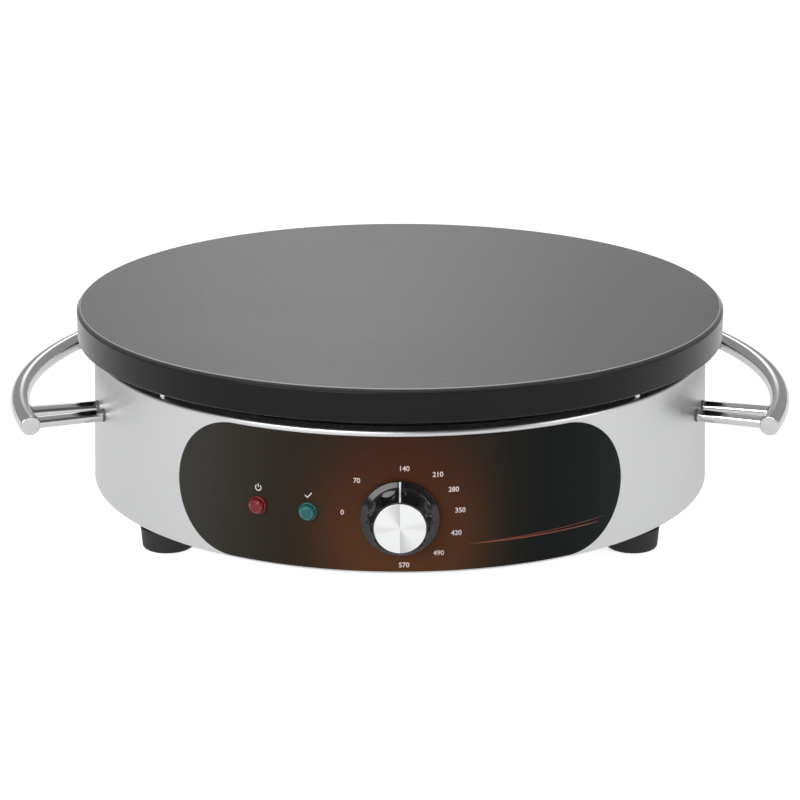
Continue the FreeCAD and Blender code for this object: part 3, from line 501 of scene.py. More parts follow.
# the glow fades as e to the power of minus the fourth power of the distance, in half sizes
def overlayMaterial():
    o = overlay
    material, surface, coords = newMaterial("printedOverlay", dull(0.08))
    x, y, z = axes(coords)
    azimuth = calc("ARCTAN2", x, times(y, -1.0))
    along = times(azimuth, wallRadius(panelMiddle))
    # the ground starts from the left tone, which holds a painted reflection as well as the print
    ground = o["leftPrintAndReflection"]
    for start, end, tone in o["turns"]:
        ground = mixColours(spread(along, start * mm, end * mm, smooth=True), ground, tone)
    across = calc("DIVIDE", along, o["glowHalfWidth"])
    rise = calc("DIVIDE", minus(z, o["glowMiddle"]), o["glowHalfHeight"])
    glow = bell(plus(times(across, across), times(rise, rise)))
    level = spread(z, panelLow[2], panelHigh[2], 1.0, 0.0, smooth=True)
    warm = mixColours(level, o["glowHigh"], o["glowLow"])
    patchy = placeGroup(clouds, coords, o["patches"])
    strength = times(glow, spread(patchy, 0.0, 1.0, o["patchLeast"], 1.0))
    wire(mixColours(strength, ground, warm), surface.inputs["Base Color"])
    wire(spread(patchy, 0.0, 1.0, *o["rough"]), surface.inputs["Roughness"])
    addBump(surface, placeGroup(clouds, coords, o["grain"]), *o["bump"])
    return material


# Spun aluminium: fine rings, and dark sectors that fan out from the middle, which are a painted reflection
# of the spun finish's sheen. Angles are in radians, and the fan repeats after half a turn
spunCap = {
    "pale": (0.88, 0.89, 0.89),
    "dark": (0.56, 0.57, 0.575),
    "rings": {"Density": 6000.0, "Wander": 30.0},
    "ringTone": 0.05,
    "fanWidth": 0.9,
    "fanSheenShade": 0.85,
    "sideAt": 1.65,
    "sideWidth": 0.35,
    "sideSheenShade": 0.30,
    "rough": (0.24, 0.32),
    "bump": (0.03, 0.01),
}


def capMaterial(centre):
    c = spunCap
    material, surface, coords = newMaterial("spunAluminium", metal)
    local = centred(coords, centre, (math.radians(90), 0.0, 0.0))
    ringed = placeGroup(rings, local, c["rings"])
    x, y = axes(local)[:2]
    # painted reflection: darker sectors by angle stand in for the spun finish's sheen
    half = calc("FLOORED_MODULO", calc("ARCTAN2", x, y), math.pi)
    side = calc("ABSOLUTE", minus(half, c["sideAt"]))
    fan = plus(spread(half, 0.0, c["fanWidth"], c["fanSheenShade"], 0.0, smooth=True),
               spread(side, 0.0, c["sideWidth"], c["sideSheenShade"], 0.0, smooth=True))
    fine = spread(ringed, 0.3, 0.7, -c["ringTone"], c["ringTone"])
    tone = calc("ADD", fan, fine, clamp=True)
    wire(mixColours(tone, c["pale"], c["dark"]), surface.inputs["Base Color"])
    wire(spread(tone, 0.0, 1.0, *c["rough"]), surface.inputs["Roughness"])
    addBump(surface, ringed, *c["bump"])
    return material


# Tinted lens: a pale middle and a pale ring, both painted highlights, follow the attribute that runs from 0
# in the middle to 1 at the rim
tintedLens = {
    "shader": {"Coat Weight": 0.3, "Coat Roughness": 0.06, "Specular IOR Level": 0.3},
    "middleHighlightSize": 0.45,
    "middleHighlightShare": 0.45,
    "glintRingAt": 0.62,
    "glintRingFall": 9.0,
    "ringShare": 0.55,
    "mottling": {"Scale": 420.0, "Low": 0.3, "High": 0.7},
    "mottledShare": (0.1, 0.5),
    "rough": (0.16, 0.28),
    "bump": (0.05, 0.03),
}


def lensMaterial(name, deep, pale, glint):
    c = tintedLens
    material, surface, coords = newMaterial(name, c["shader"])
    distance = addNode(surface, "Attribute")
    distance.attribute_name = "fromMiddle"
    out = distance.outputs["Fac"]
    middle = spread(out, 0.0, c["middleHighlightSize"], 1.0, 0.0, smooth=True)
    fromRing = calc("ABSOLUTE", minus(out, c["glintRingAt"]))
    ring = calc("SUBTRACT", 1.0, times(fromRing, c["glintRingFall"]), clamp=True)
    mottled = placeGroup(clouds, coords, c["mottling"])
    body = mixColours(spread(mottled, 0.0, 1.0, *c["mottledShare"]), deep, pale)
    # painted highlights: the pale middle and the glint ring
    body = mixColours(times(middle, c["middleHighlightShare"]), body, pale)
    body = mixColours(times(ring, c["ringShare"]), body, glint)
    wire(body, surface.inputs["Base Color"])
    wire(spread(mottled, 0.0, 1.0, *c["rough"]), surface.inputs["Roughness"])
    addBump(surface, mottled, *c["bump"])
    return material


made = {name: finishFrom(name) for name in finishes}
print("finishes: %d plain ones made" % len(made))

# The CAD nodes that stay take the finish of their slot
slotFinish = {
    "seasoned_cast_iron": "darkPan", "element_sheath": "darkSheath", "terminal_steel": "zincScrew",
    "galvanised_sheet": "zincSheet", "mineral_wool": "feltedWool", "dark_sheet": "darkPan",
    "zinc_steel": "zincScrew", "bright_steel": "brightSteel", "brushed_stainless": "brushedDrum",
    "black_rubber": "blackRubber", "polished_stainless": "polishedSteel", "dark_washer": "darkWasher",
    "glossy_overlay": "glossyBlack", "moulded_black": "mouldedBlack", "copper_tube": "dullCopper",
    "glossy_black": "glossyBlack", "spun_aluminium": "brightSteel", "white_mark": "whitePaint",
    "red_lens": "glossyBlack", "green_lens": "glossyBlack", "clear_glass": "clearBulb",
    "white_ceramic": "glazedCeramic", "brass_screw": "plainBrass", "wire_sleeve": "siliconeSleeve",
}
for part in frame["record"]["subparts"]:
    node = cadNodes[part["node"]]
    node.data.materials.clear()
    node.data.materials.append(made[slotFinish[part["material_slot"]]])


# Cooking plate: a turned profile with a deep rim, and four cast bosses behind it
plate = {
    "radius": plateHigh[0],
    "core": 20 * mm,
    "top": plateHigh[2],
    "low": plateLow[2],
    "web": 10.0 * mm,
    "rimWall": 8.0 * mm,
    "chamfer": 2.5 * mm,
    "bossRadius": 7.0 * mm,
    "bossCore": 1 * mm,
    "bossRing": 188.0 * mm,
    "spacerAzimuth": 47.0,
}


def quarterAzimuths(azimuth):
    return [azimuth, -azimuth, 180 - azimuth, azimuth - 180]


def ringPlace(azimuth, radius):
    a = math.radians(azimuth)
    return radius * math.sin(a), -radius * math.cos(a)


def buildPlate():
    p = plate
    outer, core, boss = p["radius"], p["core"], p["bossRadius"]
    inner = outer - p["rimWall"]
    webUnder = p["top"] - p["web"]
    cut = p["chamfer"]
    path = roundedPath([
        (core, webUnder, 0), (inner, webUnder, 1.5 * mm), (inner, p["low"], 0.4 * mm),
        (outer, p["low"], 0.8 * mm), (outer, p["top"] - cut, 0.7 * mm),
        (outer - cut, p["top"], 0.5 * mm), (core, p["top"], 0)])
    bossPath = roundedPath([(p["bossCore"], p["low"], 0), (boss, p["low"], 0.3 * mm),
                            (boss, webUnder, 0), (p["bossCore"], webUnder, 0)])
    bosses = [turnedGrid(bossPath, 40, ringPlace(azimuth, p["bossRing"]))
              for azimuth in quarterAzimuths(p["spacerAzimuth"])]
    return pieceFromGrids("cookingPlate", [turnedGrid(path, 384)] + bosses)


dress(buildPlate(), "cooker", "seasoned_cast_iron", plateMaterial(), "cooking_plate")

# Spacer posts in the gap between plate and drum, each with a groove at half its height
spacer = {
    "radius": 2.3 * mm,
    "core": 0.5 * mm,
    "ring": 188.6 * mm,
    "groove": 0.35 * mm,
    "grooveFloor": 0.6 * mm,
    "grooveMouth": 1 * mm,
}


def buildSpacers():
    s = spacer
    low, high = shellHigh[2], plate["low"]
    middle = (low + high) / 2
    r, neck = s["radius"], s["radius"] - s["groove"]
    path = roundedPath([
        (s["core"], low, 0), (r, low, 0.2 * mm), (r, middle - s["grooveMouth"], 0),
        (neck, middle - s["grooveFloor"], 0), (neck, middle + s["grooveFloor"], 0),
        (r, middle + s["grooveMouth"], 0), (r, high, 0.2 * mm), (s["core"], high, 0)], guard=0.05 * mm)
    return pieceFromGrids("spacerPosts", [turnedGrid(path, 32, ringPlace(azimuth, s["ring"]))
                                          for azimuth in quarterAzimuths(plate["spacerAzimuth"])])


dress(buildSpacers(), "cooker", "bright_steel", made["brightSteel"], "plate_spacers")


# Drum: one closed sheet-steel profile with a rounded shoulder, turned-in flange and hem
def buildDrum():
    d = drum
    t = d["sheet"]
    topRadius = d["footRadius"] - d["flare"]
    path = roundedPath([
        (d["hemInner"], d["low"], 0), (d["footRadius"], d["low"], d["hemEdge"]),
        (topRadius, d["high"], d["shoulder"]), (d["flangeInner"], d["high"], 0.3 * mm),
        (d["flangeInner"], d["high"] - t, 0.3 * mm), (topRadius - t, d["high"] - t, 0.8 * mm),
        (d["footRadius"] - t, d["low"] + t, 0.5 * mm), (d["hemInner"], d["low"] + t, 0)],
        closed=True, steps=8)
    return pieceFromGrids("brushedDrum", [turnedGrid(path, 384)], closed=True)


dress(buildDrum(), "cooker", "brushed_stainless", made["brushedDrum"], "body_shell")
print("plate, spacers and drum built")

# Control panel: rings that grow from the knob's hole to the oval outline, wrapped on the wall
panel = {
    "halfLength": 140.0 * mm,
    "endRadius": (panelHigh[2] - panelLow[2]) / 2,
    "proud": 0.8 * mm,
    "glue": 0.15 * mm,
    "edge": 0.35 * mm,
    "hole": 4.5 * mm,
    "around": 480,
    "ringCount": 36,
}


# the oval outline and its outward normals: half the top, the right end, the bottom, the left end, and
# the other half of the top
def ovalOutline(count):
    radius = panel["endRadius"]
    half = panel["halfLength"] - radius
    turn = math.pi * radius
    u = np.linspace(0, 4 * half + 2 * turn, count, endpoint=False)
    right = (u - half) / radius
    left = (u - 3 * half - turn) / radius
    stretches = [u < half, u < half + turn, u < 3 * half + turn, u < 3 * half + 2 * turn]
    x = np.select(stretches, [u, half + radius * np.sin(right), 2 * half + turn - u,
                              -half - radius * np.sin(left)], u - 4 * half - 2 * turn)
    z = np.select(stretches, [radius, radius * np.cos(right), -radius, -radius * np.cos(left)], radius)
    nx = np.select(stretches, [0, np.sin(right), 0, -np.sin(left)], 0)
    nz = np.select(stretches, [1, np.cos(right), -1, -np.cos(left)], 1)
    return np.stack([x, z + panelMiddle], -1), np.stack([nx, nz], -1)


def buildPanel():
    outline, normal = ovalOutline(panel["around"])
    middle = np.array([0.0, knobHeight])
    ray = outline - middle
    hole = middle + ray / np.linalg.norm(ray, axis=1)[:, None] * panel["hole"]
    inset = outline - normal * panel["edge"]
    share = np.linspace(0, 1, panel["ringCount"])[:, None, None]
    face = hole + (inset - hole) * share
    t = np.linspace(0, np.pi / 2, 5)[1:, None]
    rim = inset[None] + normal[None] * panel["edge"] * np.sin(t)[:, :, None]
    back = face[::-1].copy()
    back[0] = outline
    sheets = ((face, panel["proud"]), (rim, panel["proud"] - panel["edge"] * (1 - np.cos(t))),
              (back, panel["glue"]))
    rows = [onWall(points[..., 0], points[..., 1], lift) for points, lift in sheets]
    return pieceFromGrids("controlPanel", [np.concatenate(rows)], closed=True)


dress(buildPanel(), "cooker", "glossy_overlay", overlayMaterial(), "control_panel")

# Figures round the knob, printed on the panel: (figure, right, up) in mm from the knob's middle
dial = {
    "figures": [("0", -32.6, 2.2), ("70", -24.3, 21.3), ("140", 2.7, 28.8), ("210", 21.3, 25.0),
                ("280", 30.3, 15.9), ("350", 34.1, 3.4), ("420", 31.7, -9.9), ("490", 21.7, -21.4),
                ("570", 2.3, -28.2)],
    "height": 3.0 * mm,
    "bold": 0.018,
}
printThickness = 0.04 * mm


# flat lettering as vertices and faces, scaled so that its capitals have the wanted height; the third
# coordinate runs from -0.5 to 0.5
def figureMesh(text, height):
    curve = bpy.data.curves.new("figure", "FONT")
    curve.body = text
    curve.align_x = "CENTER"
    curve.align_y = "CENTER"
    curve.offset = dial["bold"]
    curve.extrude = 0.5
    holder = addObject("figure", curve)
    bpy.context.view_layer.update()
    mesh = bpy.data.meshes.new_from_object(holder)
    points = np.zeros(len(mesh.vertices) * 3)
    mesh.vertices.foreach_get("co", points)
    points = points.reshape(-1, 3)
    faces = [list(face.vertices) for face in mesh.polygons]
    low, high = points.min(axis=0), points.max(axis=0)
    scale = height / (high[1] - low[1])
    points[:, :2] = (points[:, :2] - (low + high)[:2] / 2) * scale
    bpy.data.objects.remove(holder)
    bpy.data.curves.remove(curve)
    bpy.data.meshes.remove(mesh)
    return points, faces


def buildFigures():
    vertices, faces, base = [], [], 0
    for text, right, up in dial["figures"]:
        points, cells = figureMesh(text, dial["height"])
        lift = panel["proud"] + (points[:, 2] + 0.5) * printThickness
        vertices.append(onWall(points[:, 0] + right * mm, points[:, 1] + knobHeight + up * mm, lift))
        faces += [[k + base for k in cell] for cell in cells]
        base += len(points)
    return addMesh("dialFigures", np.concatenate(vertices).tolist(), faces)


dress(buildFigures(), "cooker", "white_mark", made["printedFigures"])


# a printed stroke on the panel: a thin rectangle carried along an (s, z) path, its width given at each
# point; it starts a little inside the panel
def strokeGrid(path, width, sunk=0.01 * mm):
    ahead = np.gradient(path, axis=0)
    ahead /= np.linalg.norm(ahead, axis=1)[:, None]
    side = np.stack([-ahead[:, 1], ahead[:, 0]], -1) * (np.asarray(width) / 2)[..., None]
    left, right = path + side, path - side
    low, high = panel["proud"] - sunk, panel["proud"] + printThickness
    corners = [onWall(line[:, 0], line[:, 1], lift)
               for line, lift in ((left, low), (left, high), (right, high), (right, low))]
    return np.stack(corners, axis=1)


# Two thin stripes that part slowly towards the right end: (end, width)
stripes = {
    "start": (39.5 * mm, 31.2 * mm),
    "lines": [((122.0 * mm, 32.4 * mm), 0.75 * mm), ((127.0 * mm, 35.0 * mm), 0.35 * mm)],
    "tipWidth": 0.25,
    "tipGrowth": 6.0,
}


def buildStripes():
    t = np.linspace(0, 1, 60)[:, None]
    fromTip = np.minimum(t[:, 0], 1 - t[:, 0])
    taper = np.minimum(1.0, stripes["tipWidth"] + stripes["tipGrowth"] * fromTip)
    start = np.array(stripes["start"])
    return pieceFromGrids("panelStripes", [strokeGrid(start + (np.array(end) - start) * t, width * taper)
                                           for end, width in stripes["lines"]])


dress(buildStripes(), "cooker", "glossy_overlay", made["printedStripe"])

# Lamps, and signs over them: a ring with a bar for mains on, and a tick for ready
lamps = {
    "azimuths": (-24.4, -15.4),
    "height": 49.5 * mm,
    "core": 0.3 * mm,
    "sunk": 1.0 * mm,
    "rim": 5.5 * mm,
    "rimHeight": 1.4 * mm,
    "dome": 4.75 * mm,
    "reach": 4.8 * mm,
    "front": 2.7 * mm,
    "around": 72,
}
signs = {
    "rise": (10.4 * mm, 9.3 * mm),
    "width": 0.55 * mm,
    "ring": 1.75 * mm,
    "ringGap": 38,
    "bar": ((0, 0.2), (0, 2.3)),
    "tickDown": ((-1.9, 0.1), (-0.5, -1.4)),
    "tickUp": ((-0.62, -1.35), (2.1, 1.7)),
}


def buildSigns():
    perDegree = math.radians(1) * wallRadius(panelMiddle)
    mainsAt, readyAt = [np.array([azimuth * perDegree, lamps["height"] + rise])
                        for azimuth, rise in zip(lamps["azimuths"], signs["rise"])]
    t = np.linspace(math.radians(signs["ringGap"]), math.radians(360 - signs["ringGap"]), 40)
    ring = mainsAt + signs["ring"] * np.stack([np.sin(t), np.cos(t)], -1)
    bar = mainsAt + np.linspace(*signs["bar"], 6) * mm
    down = readyAt + np.linspace(*signs["tickDown"], 8) * mm
    up = readyAt + np.linspace(*signs["tickUp"], 12) * mm
    return pieceFromGrids("lampSigns", [strokeGrid(path, np.full(len(path), signs["width"]))
                                        for path in (ring, bar, down, up)])


dress(buildSigns(), "cooker", "white_mark", made["printedSigns"])


# Lamp lens: a rim, a dome and a flattened front, turned about the wall's own radius
def buildLens(name, azimuth):
    c = lamps
    path = roundedPath([
        (c["core"], -c["sunk"], 0), (c["rim"], -c["sunk"], 0), (c["rim"], c["rimHeight"], 0.45 * mm),
        (c["dome"], c["rimHeight"] + 0.1 * mm, 0.25 * mm),
        (c["dome"] - 0.25 * mm, c["reach"] - 1.3 * mm, 1.1 * mm),
        (c["front"], c["reach"], 0.8 * mm), (c["core"], c["reach"], 0)], guard=0.04 * mm)
    reach = wallRadius(c["height"]) + panel["proud"]
    points = outwardGrid(path, c["around"], azimuth, reach, c["height"])
    piece = pieceFromGrids(name, [points], sharpAngle=50)
    away = np.repeat(path[:, 0] / c["rim"], c["around"])
    layer = piece.data.attributes.new("fromMiddle", "FLOAT", "POINT")
    layer.data.foreach_set("value", away.astype(np.float32))
    return piece


# the last colour is the ring's painted highlight; the pale one is the mottling and also the middle's
# painted highlight
redLens = lensMaterial("redLens", (0.13, 0.005, 0.008), (0.22, 0.010, 0.016), (0.40, 0.075, 0.08))
greenLens = lensMaterial("greenLens", (0.003, 0.085, 0.08), (0.008, 0.17, 0.155), (0.09, 0.34, 0.32))
dress(buildLens("powerLens", lamps["azimuths"][0]), "cooker", "red_lens", redLens, "power_lamp_lens")
dress(buildLens("readyLens", lamps["azimuths"][1]), "cooker", "green_lens", greenLens, "ready_lamp_lens")
print("panel, figures, stripes, signs and lenses built")

# Knob: a round skirt under a lobed grip; the lobes fade in above the skirt. The flank holds the
# profile's corners (radius, height, rounding) between the skirt and the front
knob = {
    "reach": -knobHigh[1],
    "core": 0.5 * mm,
    "back": 0.05 * mm,
    "skirt": 22.3 * mm,
    "skirtEdge": 1.6 * mm,
    "flank": [(19.2 * mm, 3.2 * mm, 0.9 * mm), (18.2 * mm, 4.6 * mm, 0.8 * mm),
              (17.7 * mm, 6.2 * mm, 2.0 * mm), (16.9 * mm, 13.4 * mm, 1.2 * mm)],
    "frontEdge": 15.2 * mm,
    "frontHeight": knobHigh[1] - knobLow[1],
    "longestStep": 0.8 * mm,
    "hollows": 8,
    "hollowRadius": 7.0 * mm,
    "hollowFloor": 15.3 * mm,
    "hollowStart": 3.5 * mm,
    "hollowFade": 1.6 * mm,
    "faceRadius": 13.0 * mm,
    "faceFade": 1.5 * mm,
    "crestRound": 0.5 * mm,
}


# hollows: a round bar's outline bites into the grip from outside, softly where it leaves the crests;
# they fade in over the height and out towards the middle of the face
def hollowScale(path, t):
    k = knob
    pitch = 2 * math.pi / k["hollows"]
    turn = np.mod(t, pitch) - pitch / 2
    centre = k["hollowFloor"] + k["hollowRadius"]
    halfChord = np.sqrt(np.clip(k["hollowRadius"] ** 2 - (centre * np.sin(turn)) ** 2, 0, None))
    bite = centre * np.cos(turn) - halfChord
    r = path[:, 0][:, None]
    least = (r + bite - np.sqrt((r - bite) ** 2 + k["crestRound"] ** 2)) / 2
    rise = np.clip((path[:, 1][:, None] - k["hollowStart"]) / k["hollowFade"], 0, 1)
    ease = np.clip((r - k["faceRadius"]) / k["faceFade"], 0, 1)
    return 1 + (least / r - 1) * rise * rise * (3 - 2 * rise) * ease


def buildKnob():
    k = knob
    path = roundedPath([
        (k["core"], k["back"], 0), (k["skirt"], k["back"], 0.3 * mm),
        (k["skirt"], k["skirtEdge"], 0.4 * mm), *k["flank"],
        (k["frontEdge"], k["frontHeight"], 0.35 * mm), (k["core"], k["frontHeight"], 0)],
        steps=8, guard=0.08 * mm)
    fine = [path[0]]
    for a, b in zip(path[:-1], path[1:]):
        pieces = max(1, int(np.linalg.norm(b - a) / k["longestStep"]))
        fine += list(a + (b - a) * np.linspace(0, 1, pieces + 1)[1:, None])
    points = outwardGrid(np.array(fine), 360, 0.0, k["reach"], knobHeight, hollowScale)
    return pieceFromGrids("heatKnob", [points], sharpAngle=48)


dress(buildKnob(), "heat_knob", "glossy_black", made["glossyBlack"], "knob")

# Spun cap on the knob's front
cap = {
    "reach": -capHigh[1],
    "core": 0.4 * mm,
    "radius": 14.6 * mm,
    "height": 0.7 * mm,
    "edge": 0.28 * mm,
}


def buildCap():
    core, radius, height = cap["core"], cap["radius"], cap["height"]
    path = roundedPath([(core, 0, 0), (radius, 0, 0), (radius, height, cap["edge"]), (core, height, 0)],
                       guard=0.08 * mm)
    return pieceFromGrids("spunCap", [outwardGrid(path, 144, 0.0, cap["reach"], knobHeight)])


dress(buildCap(), "heat_knob", "spun_aluminium", capMaterial((0.0, 0.0, knobHeight)), "knob_cap")

# Pointer: a white strip that follows the knob's crest from the skirt to the front
pointer = {"halfWidth": 0.52 * mm, "proud": 0.14 * mm, "sunk": 0.1 * mm}


def buildPointer():
    k = knob
    path = roundedPath([
        (k["skirt"] - 0.3 * mm, k["skirtEdge"] + 0.15 * mm, 0), *k["flank"],
        (k["frontEdge"], k["frontHeight"] - 0.05 * mm, 0)], steps=8, guard=0.08 * mm)
    ahead = np.gradient(path, axis=0)
    normal = np.stack([-ahead[:, 1], ahead[:, 0]], -1)
    normal /= np.linalg.norm(normal, axis=1)[:, None]
    normal *= np.where(normal[:, :1] + normal[:, 1:] < 0, -1, 1)
    outer, inner = path + normal * pointer["proud"], path - normal * pointer["sunk"]
    rows = [np.stack([np.full(len(line), side * pointer["halfWidth"]), line[:, 0], line[:, 1]], -1)
            for side, line in ((-1, inner), (-1, outer), (1, outer), (1, inner))]
    points = radialPlace(np.stack(rows, axis=1), 0.0, k["reach"], knobHeight)
    return pieceFromGrids("whitePointer", [points])


dress(buildPointer(), "heat_knob", "white_mark", made["whitePaint"], "knob_pointer")
print("knob, cap and pointer built")

# Side handles: a bar bent on the drum's centre, and four rods that run into it
handle = {
    "height": (barLow[2] + barHigh[2]) / 2,
    "ring": 240.5 * mm,
    "bar": 6.0 * mm,
    "azimuth": 94.0,
    "halfSpan": 26.0,
    "endRound": 0.6 * mm,
    "spanSteps": 120,
    "rod": 3.75 * mm,
    "rodCore": 0.4 * mm,
    "rodAngles": (-24.5, -19.2, 19.2, 24.5),
    "washer": 4.1 * mm,
    "washerHeight": 0.9 * mm,
    "washerWidth": 1 * mm,
    "washerSunk": 0.6 * mm,
    "weld": 0.42 * mm,
    "weldSunk": 0.05 * mm,
    "weldSwell": 0.12,
    "weldRipples": 17,
}


# a circle carried along an arc round the drum; near both ends its radius follows a quarter circle
def barGrid(side):
    h = handle
    length = 2 * math.radians(h["halfSpan"]) * h["ring"]
    t = np.linspace(0, math.pi / 2, 7)
    startAt = h["endRound"] * (1 - np.cos(t))
    startRadius = h["bar"] - h["endRound"] + h["endRound"] * np.sin(t)
    span = np.linspace(h["endRound"], length - h["endRound"], h["spanSteps"])[1:-1]
    along = np.concatenate([startAt, span, (length - startAt)[::-1]])
    radius = np.concatenate([startRadius, np.full(len(span), h["bar"]), startRadius[::-1]])[:, None]
    azimuth = (math.radians(side - h["halfSpan"]) + along / h["ring"])[:, None]
    phi = fullTurn(56)[None, :]
    reach = h["ring"] + radius * np.cos(phi)
    z = h["height"] + radius * np.sin(phi)
    return np.stack([reach * np.sin(azimuth), -reach * np.cos(azimuth), z + 0 * reach], axis=-1)


def buildBar(name, side):
    return pieceFromGrids(name, [barGrid(side)], sharpAngle=40)


def buildRods(name, side):
    h = handle
    start = wallRadius(h["height"]) + h["washerHeight"]
    path = roundedPath([(h["rodCore"], start, 0), (h["rod"], start, 0.25 * mm), (h["rod"], h["ring"], 0),
                        (h["rodCore"], h["ring"], 0)], guard=0.1 * mm)
    return pieceFromGrids(name, [outwardGrid(path, 40, side + angle, 0.0, h["height"])
                                 for angle in h["rodAngles"]])


# weld bead: a thin tube on the curve where a rod's surface meets the bar's surface
def buildWelds(name, side):
    h = handle
    t = fullTurn(64)[:, None]
    phi = fullTurn(10)[None, :]
    grids = []
    for angle in h["rodAngles"]:
        ripple = 1 + h["weldSwell"] * np.sin(h["weldRipples"] * t + angle)
        r = h["rod"] + h["weld"] * np.cos(phi) * ripple
        seat = h["ring"] - np.sqrt(h["bar"] ** 2 - (h["rod"] * np.cos(t)) ** 2)
        out = seat + h["weld"] * np.sin(phi) - h["weldSunk"]
        points = np.stack([r * np.sin(t), r * np.cos(t), out], axis=-1)
        grids.append(radialPlace(points, side + angle, 0.0, h["height"]))
    return pieceFromGrids(name, grids, closed=True, sharpAngle=80)


def buildWashers():
    h = handle
    wall = wallRadius(h["height"])
    inner, back, front = h["rod"] - h["washerWidth"], wall - h["washerSunk"], wall + h["washerHeight"]
    path = roundedPath([(inner, back, 0), (h["washer"], back, 0), (h["washer"], front, 0.2 * mm),
                        (inner, front, 0)], guard=0.05 * mm)
    return pieceFromGrids("rodWashers", [outwardGrid(path, 36, side + angle, 0.0, h["height"])
                                         for side in (-h["azimuth"], h["azimuth"])
                                         for angle in h["rodAngles"]], closed=True)


for word, side in (("left", -handle["azimuth"]), ("right", handle["azimuth"])):
    dress(buildBar(word + "Bar", side), "cooker", "polished_stainless", made["polishedSteel"],
          word + "_handle_bar")
    dress(buildRods(word + "Rods", side), "cooker", "polished_stainless", made["polishedSteel"],
          word + "_handle_rods")
    dress(buildWelds(word + "Welds", side), "cooker", "polished_stainless", made["weldedSteel"])
dress(buildWashers(), "cooker", "dark_washer", made["darkWasher"], "handle_washers")
print("handles built")

# Rubber feet: a slightly tapered block with a rounded sole and a bore for its screw
foot = {
    "azimuth": 51.0,
    "ring": 179.5 * mm,
    "topRadius": 16.5 * mm,
    "soleRadius": 15.5 * mm,
    "top": footHigh[2],
    "soleRound": 2.0 * mm,
    "bore": 6.2 * mm,
    "boreDepth": 6.0 * mm,
    "screwHole": 2.6 * mm,
}


def buildFeet():
    f = foot
    path = roundedPath([
        (f["bore"], f["boreDepth"], 0.3 * mm), (f["bore"], 0, 0.5 * mm),
        (f["soleRadius"], 0, f["soleRound"]), (f["topRadius"], f["top"], 0.4 * mm),
        (f["screwHole"], f["top"], 0), (f["screwHole"], f["boreDepth"], 0)], closed=True)
    return pieceFromGrids("rubberFeet", [turnedGrid(path, 96, ringPlace(azimuth, f["ring"]))
                                         for azimuth in quarterAzimuths(f["azimuth"])], closed=True)


dress(buildFeet(), "cooker", "black_rubber", made["blackRubber"], "feet")

# Cord gland at the back: a hexagonal flange, and a ribbed cap with a domed nose round the bore
gland = {
    "height": 40.0 * mm,
    "flats": 22.5 * mm,
    "cornerSwell": 1.13,
    "flange": 6.0 * mm,
    "cap": 10.5 * mm,
    "nose": 7.3 * mm,
    "reach": 18.6 * mm,
    "bore": 4.0 * mm,
    "thread": 8.0 * mm,
    "threadLength": 12.0 * mm,
    "wideFrom": 9.5 * mm,
    "ribs": 18,
    "ribDepth": 0.045,
    "ribbed": (7.2 * mm, 12.9 * mm),
}


# ribs: the cap's radius swings by a cosine on the stretch between the flange and the nose
def ribScale(path, t):
    low, high = gland["ribbed"]
    on = (path[:, 0] > gland["wideFrom"]) & (path[:, 1] > low) & (path[:, 1] < high)
    return 1 - gland["ribDepth"] * on[:, None] * (0.5 + 0.5 * np.cos(gland["ribs"] * t))


# hexagon: the radius is the apothem over the cosine of the angle from the nearest flat
def hexScale(path, t):
    nearest = np.mod(t, math.pi / 3) - math.pi / 6
    swell = np.minimum(1 / np.cos(nearest), gland["cornerSwell"])
    return np.where((path[:, 0] > gland["wideFrom"])[:, None], swell, 1.0)


def buildGland():
    g = gland
    reach = wallRadius(g["height"])
    flange = roundedPath([
        (g["thread"], -0.5 * mm, 0), (g["flats"] / 2, -0.5 * mm, 0),
        (g["flats"] / 2, g["flange"], 0.5 * mm), (g["thread"], g["flange"], 0)], guard=0.05 * mm)
    body = roundedPath([
        (g["bore"], -g["threadLength"], 0), (g["thread"], -g["threadLength"], 0),
        (g["thread"], g["flange"], 0), (g["cap"], g["flange"], 0), (g["cap"], g["flange"] + 1.0 * mm, 0),
        (g["cap"], g["flange"] + 5 * mm, 0), (g["cap"], g["reach"] - 5.5 * mm, 0),
        (g["cap"] - 0.3 * mm, g["reach"] - 3 * mm, 1.5 * mm), (g["nose"], g["reach"], 1.2 * mm),
        (g["bore"], g["reach"], 0.6 * mm)], closed=True, guard=0.05 * mm)
    grids = [outwardGrid(path, segments, 180.0, reach, g["height"], scale)
             for path, segments, scale in ((flange, 144, hexScale), (body, 180, ribScale))]
    return pieceFromGrids("cordGland", grids, closed=True, sharpAngle=28)


dress(buildGland(), "cooker", "moulded_black", made["mouldedBlack"], "cord_gland")
print("feet and gland built")

# Stage: a plain pale floor that shows white to the camera and keeps a soft shadow
stageSet = {
    "halfSize": 6.0,
    "floorTone": (0.86, 0.86, 0.86),
    "floorShown": 0.72,
    "floorMirrored": 0.40,
}


def buildFloor():
    s = stageSet["halfSize"]
    floor = addMesh("paleFloor", [(-s, -s, 0), (s, -s, 0), (s, s, 0), (-s, s, 0)], [(0, 1, 2, 3)])
    material, surface = newMaterial("paleFloor", {"Roughness": 0.9, **dull(0.0)})[:2]
    surface.inputs["Base Color"].default_value = (*stageSet["floorTone"], 1)
    rays = addNode(surface, "LightPath").outputs
    mirrored = calc("MAXIMUM", rays["Is Glossy Ray"], rays["Is Transmission Ray"])
    glow = plus(times(rays["Is Camera Ray"], stageSet["floorShown"]),
                times(mirrored, stageSet["floorMirrored"]))
    surface.inputs["Emission Color"].default_value = (1, 1, 1, 1)
    wire(glow, surface.inputs["Emission Strength"])
    floor.data.materials.append(material)


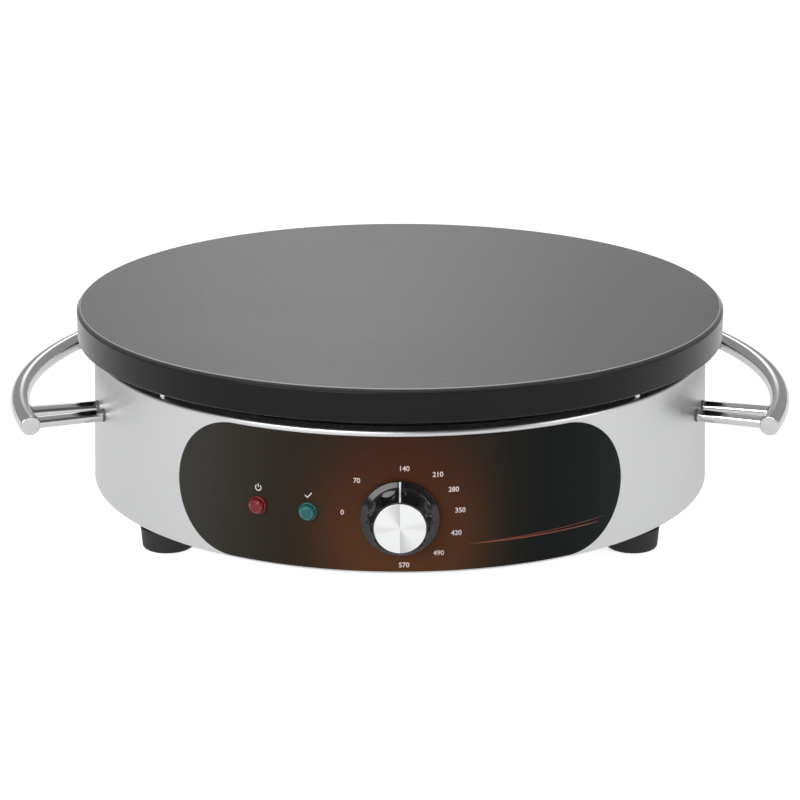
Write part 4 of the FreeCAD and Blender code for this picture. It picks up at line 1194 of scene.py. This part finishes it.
# World: white to the camera; elsewhere a bright patch high up behind, dim at the sides and overhead,
# and dark in front with a darker gap. Rises and fades are parts of the direction, angles in radians
studio = {
    "back": (0.50, 2.50),
    "backRise": (0.18, 0.44),
    "backTurn": 0.03,
    "backWidth": 0.19,
    "sideGains": (1.00, 0.80),
    "sideReach": 0.3,
    "front": (0.14, 0.36),
    "frontFade": (-0.75, -0.15),
    "top": 0.42,
    "topRise": (0.58, 0.92),
    "gapAzimuth": 0.14,
    "gapWidth": 0.22,
    "gapDepth": 0.8,
}


def buildWorld():
    s = studio
    world = bpy.data.worlds.new("studio")
    bpy.context.scene.world = world
    world.use_nodes = True
    sky = world.node_tree.nodes["Background"]
    sky.inputs["Color"].default_value = (1, 1, 1, 1)
    x, y, z = axes(addNode(sky, "TexCoord").outputs["Generated"])
    front = spread(y, *s["frontFade"], *s["front"], smooth=True)
    fromBack = calc("ABSOLUTE", calc("ARCTAN2", plus(x, s["backTurn"]), y))
    behind = spread(fromBack, 0.0, s["backWidth"], 1.0, 0.0, smooth=True)
    glow = spread(z, *s["backRise"], *s["back"], smooth=True)
    gain = spread(x, -s["sideReach"], s["sideReach"], *s["sideGains"], smooth=True)
    level = spread(behind, 0.0, 1.0, front, times(glow, gain))
    azimuth = calc("ARCTAN2", x, times(y, -1.0))
    away = calc("DIVIDE", minus(azimuth, s["gapAzimuth"]), s["gapWidth"])
    level = times(level, minus(1.0, times(bell(away), s["gapDepth"])))
    overhead = spread(z, *s["topRise"], smooth=True)
    light = spread(overhead, 0.0, 1.0, level, s["top"])
    camera = addNode(sky, "LightPath").outputs["Is Camera Ray"]
    shown = plus(times(light, minus(1.0, camera)), camera)
    wire(shown, sky.inputs["Strength"])


# Softboxes: (place, aim, width, height, watts)
softboxes = {
    "leftBox": ((-1.05, -1.80, 0.95), (0, 0, 0.08), 1.9, 1.1, 30.0),
    "rightBox": ((1.7, -0.9, 0.8), (0, 0, 0.08), 0.5, 1.0, 8.0),
}


def buildLights():
    for name, (place, aim, width, height, watts) in softboxes.items():
        lamp = bpy.data.lights.new(name, "AREA")
        lamp.shape = "RECTANGLE"
        lamp.size = width
        lamp.size_y = height
        lamp.energy = watts
        box = addObject(name, lamp)
        box.location = place
        back = np.array(place, float) - np.array(aim, float)
        back /= np.linalg.norm(back)
        box.rotation_euler = (math.acos(back[2]), 0.0, math.atan2(back[0], -back[1]))


# Camera: fitted to the photograph's plate rim, drum, panel and handles
cameraSet = {"lens": 104.42, "sensor": 36.0, "place": (0.0, -1.4230, 0.5010), "tilt": 72.65}


def buildCamera():
    lens = bpy.data.cameras.new("camera")
    lens.sensor_width = cameraSet["sensor"]
    lens.lens = cameraSet["lens"]
    camera = addObject("camera", lens)
    camera.location = cameraSet["place"]
    camera.rotation_euler = (math.radians(cameraSet["tilt"]), 0.0, 0.0)
    bpy.context.scene.camera = camera


buildFloor()
buildWorld()
buildLights()
buildCamera()
bpy.context.scene.view_settings.view_transform = "Standard"
print("stage, lights and camera set")
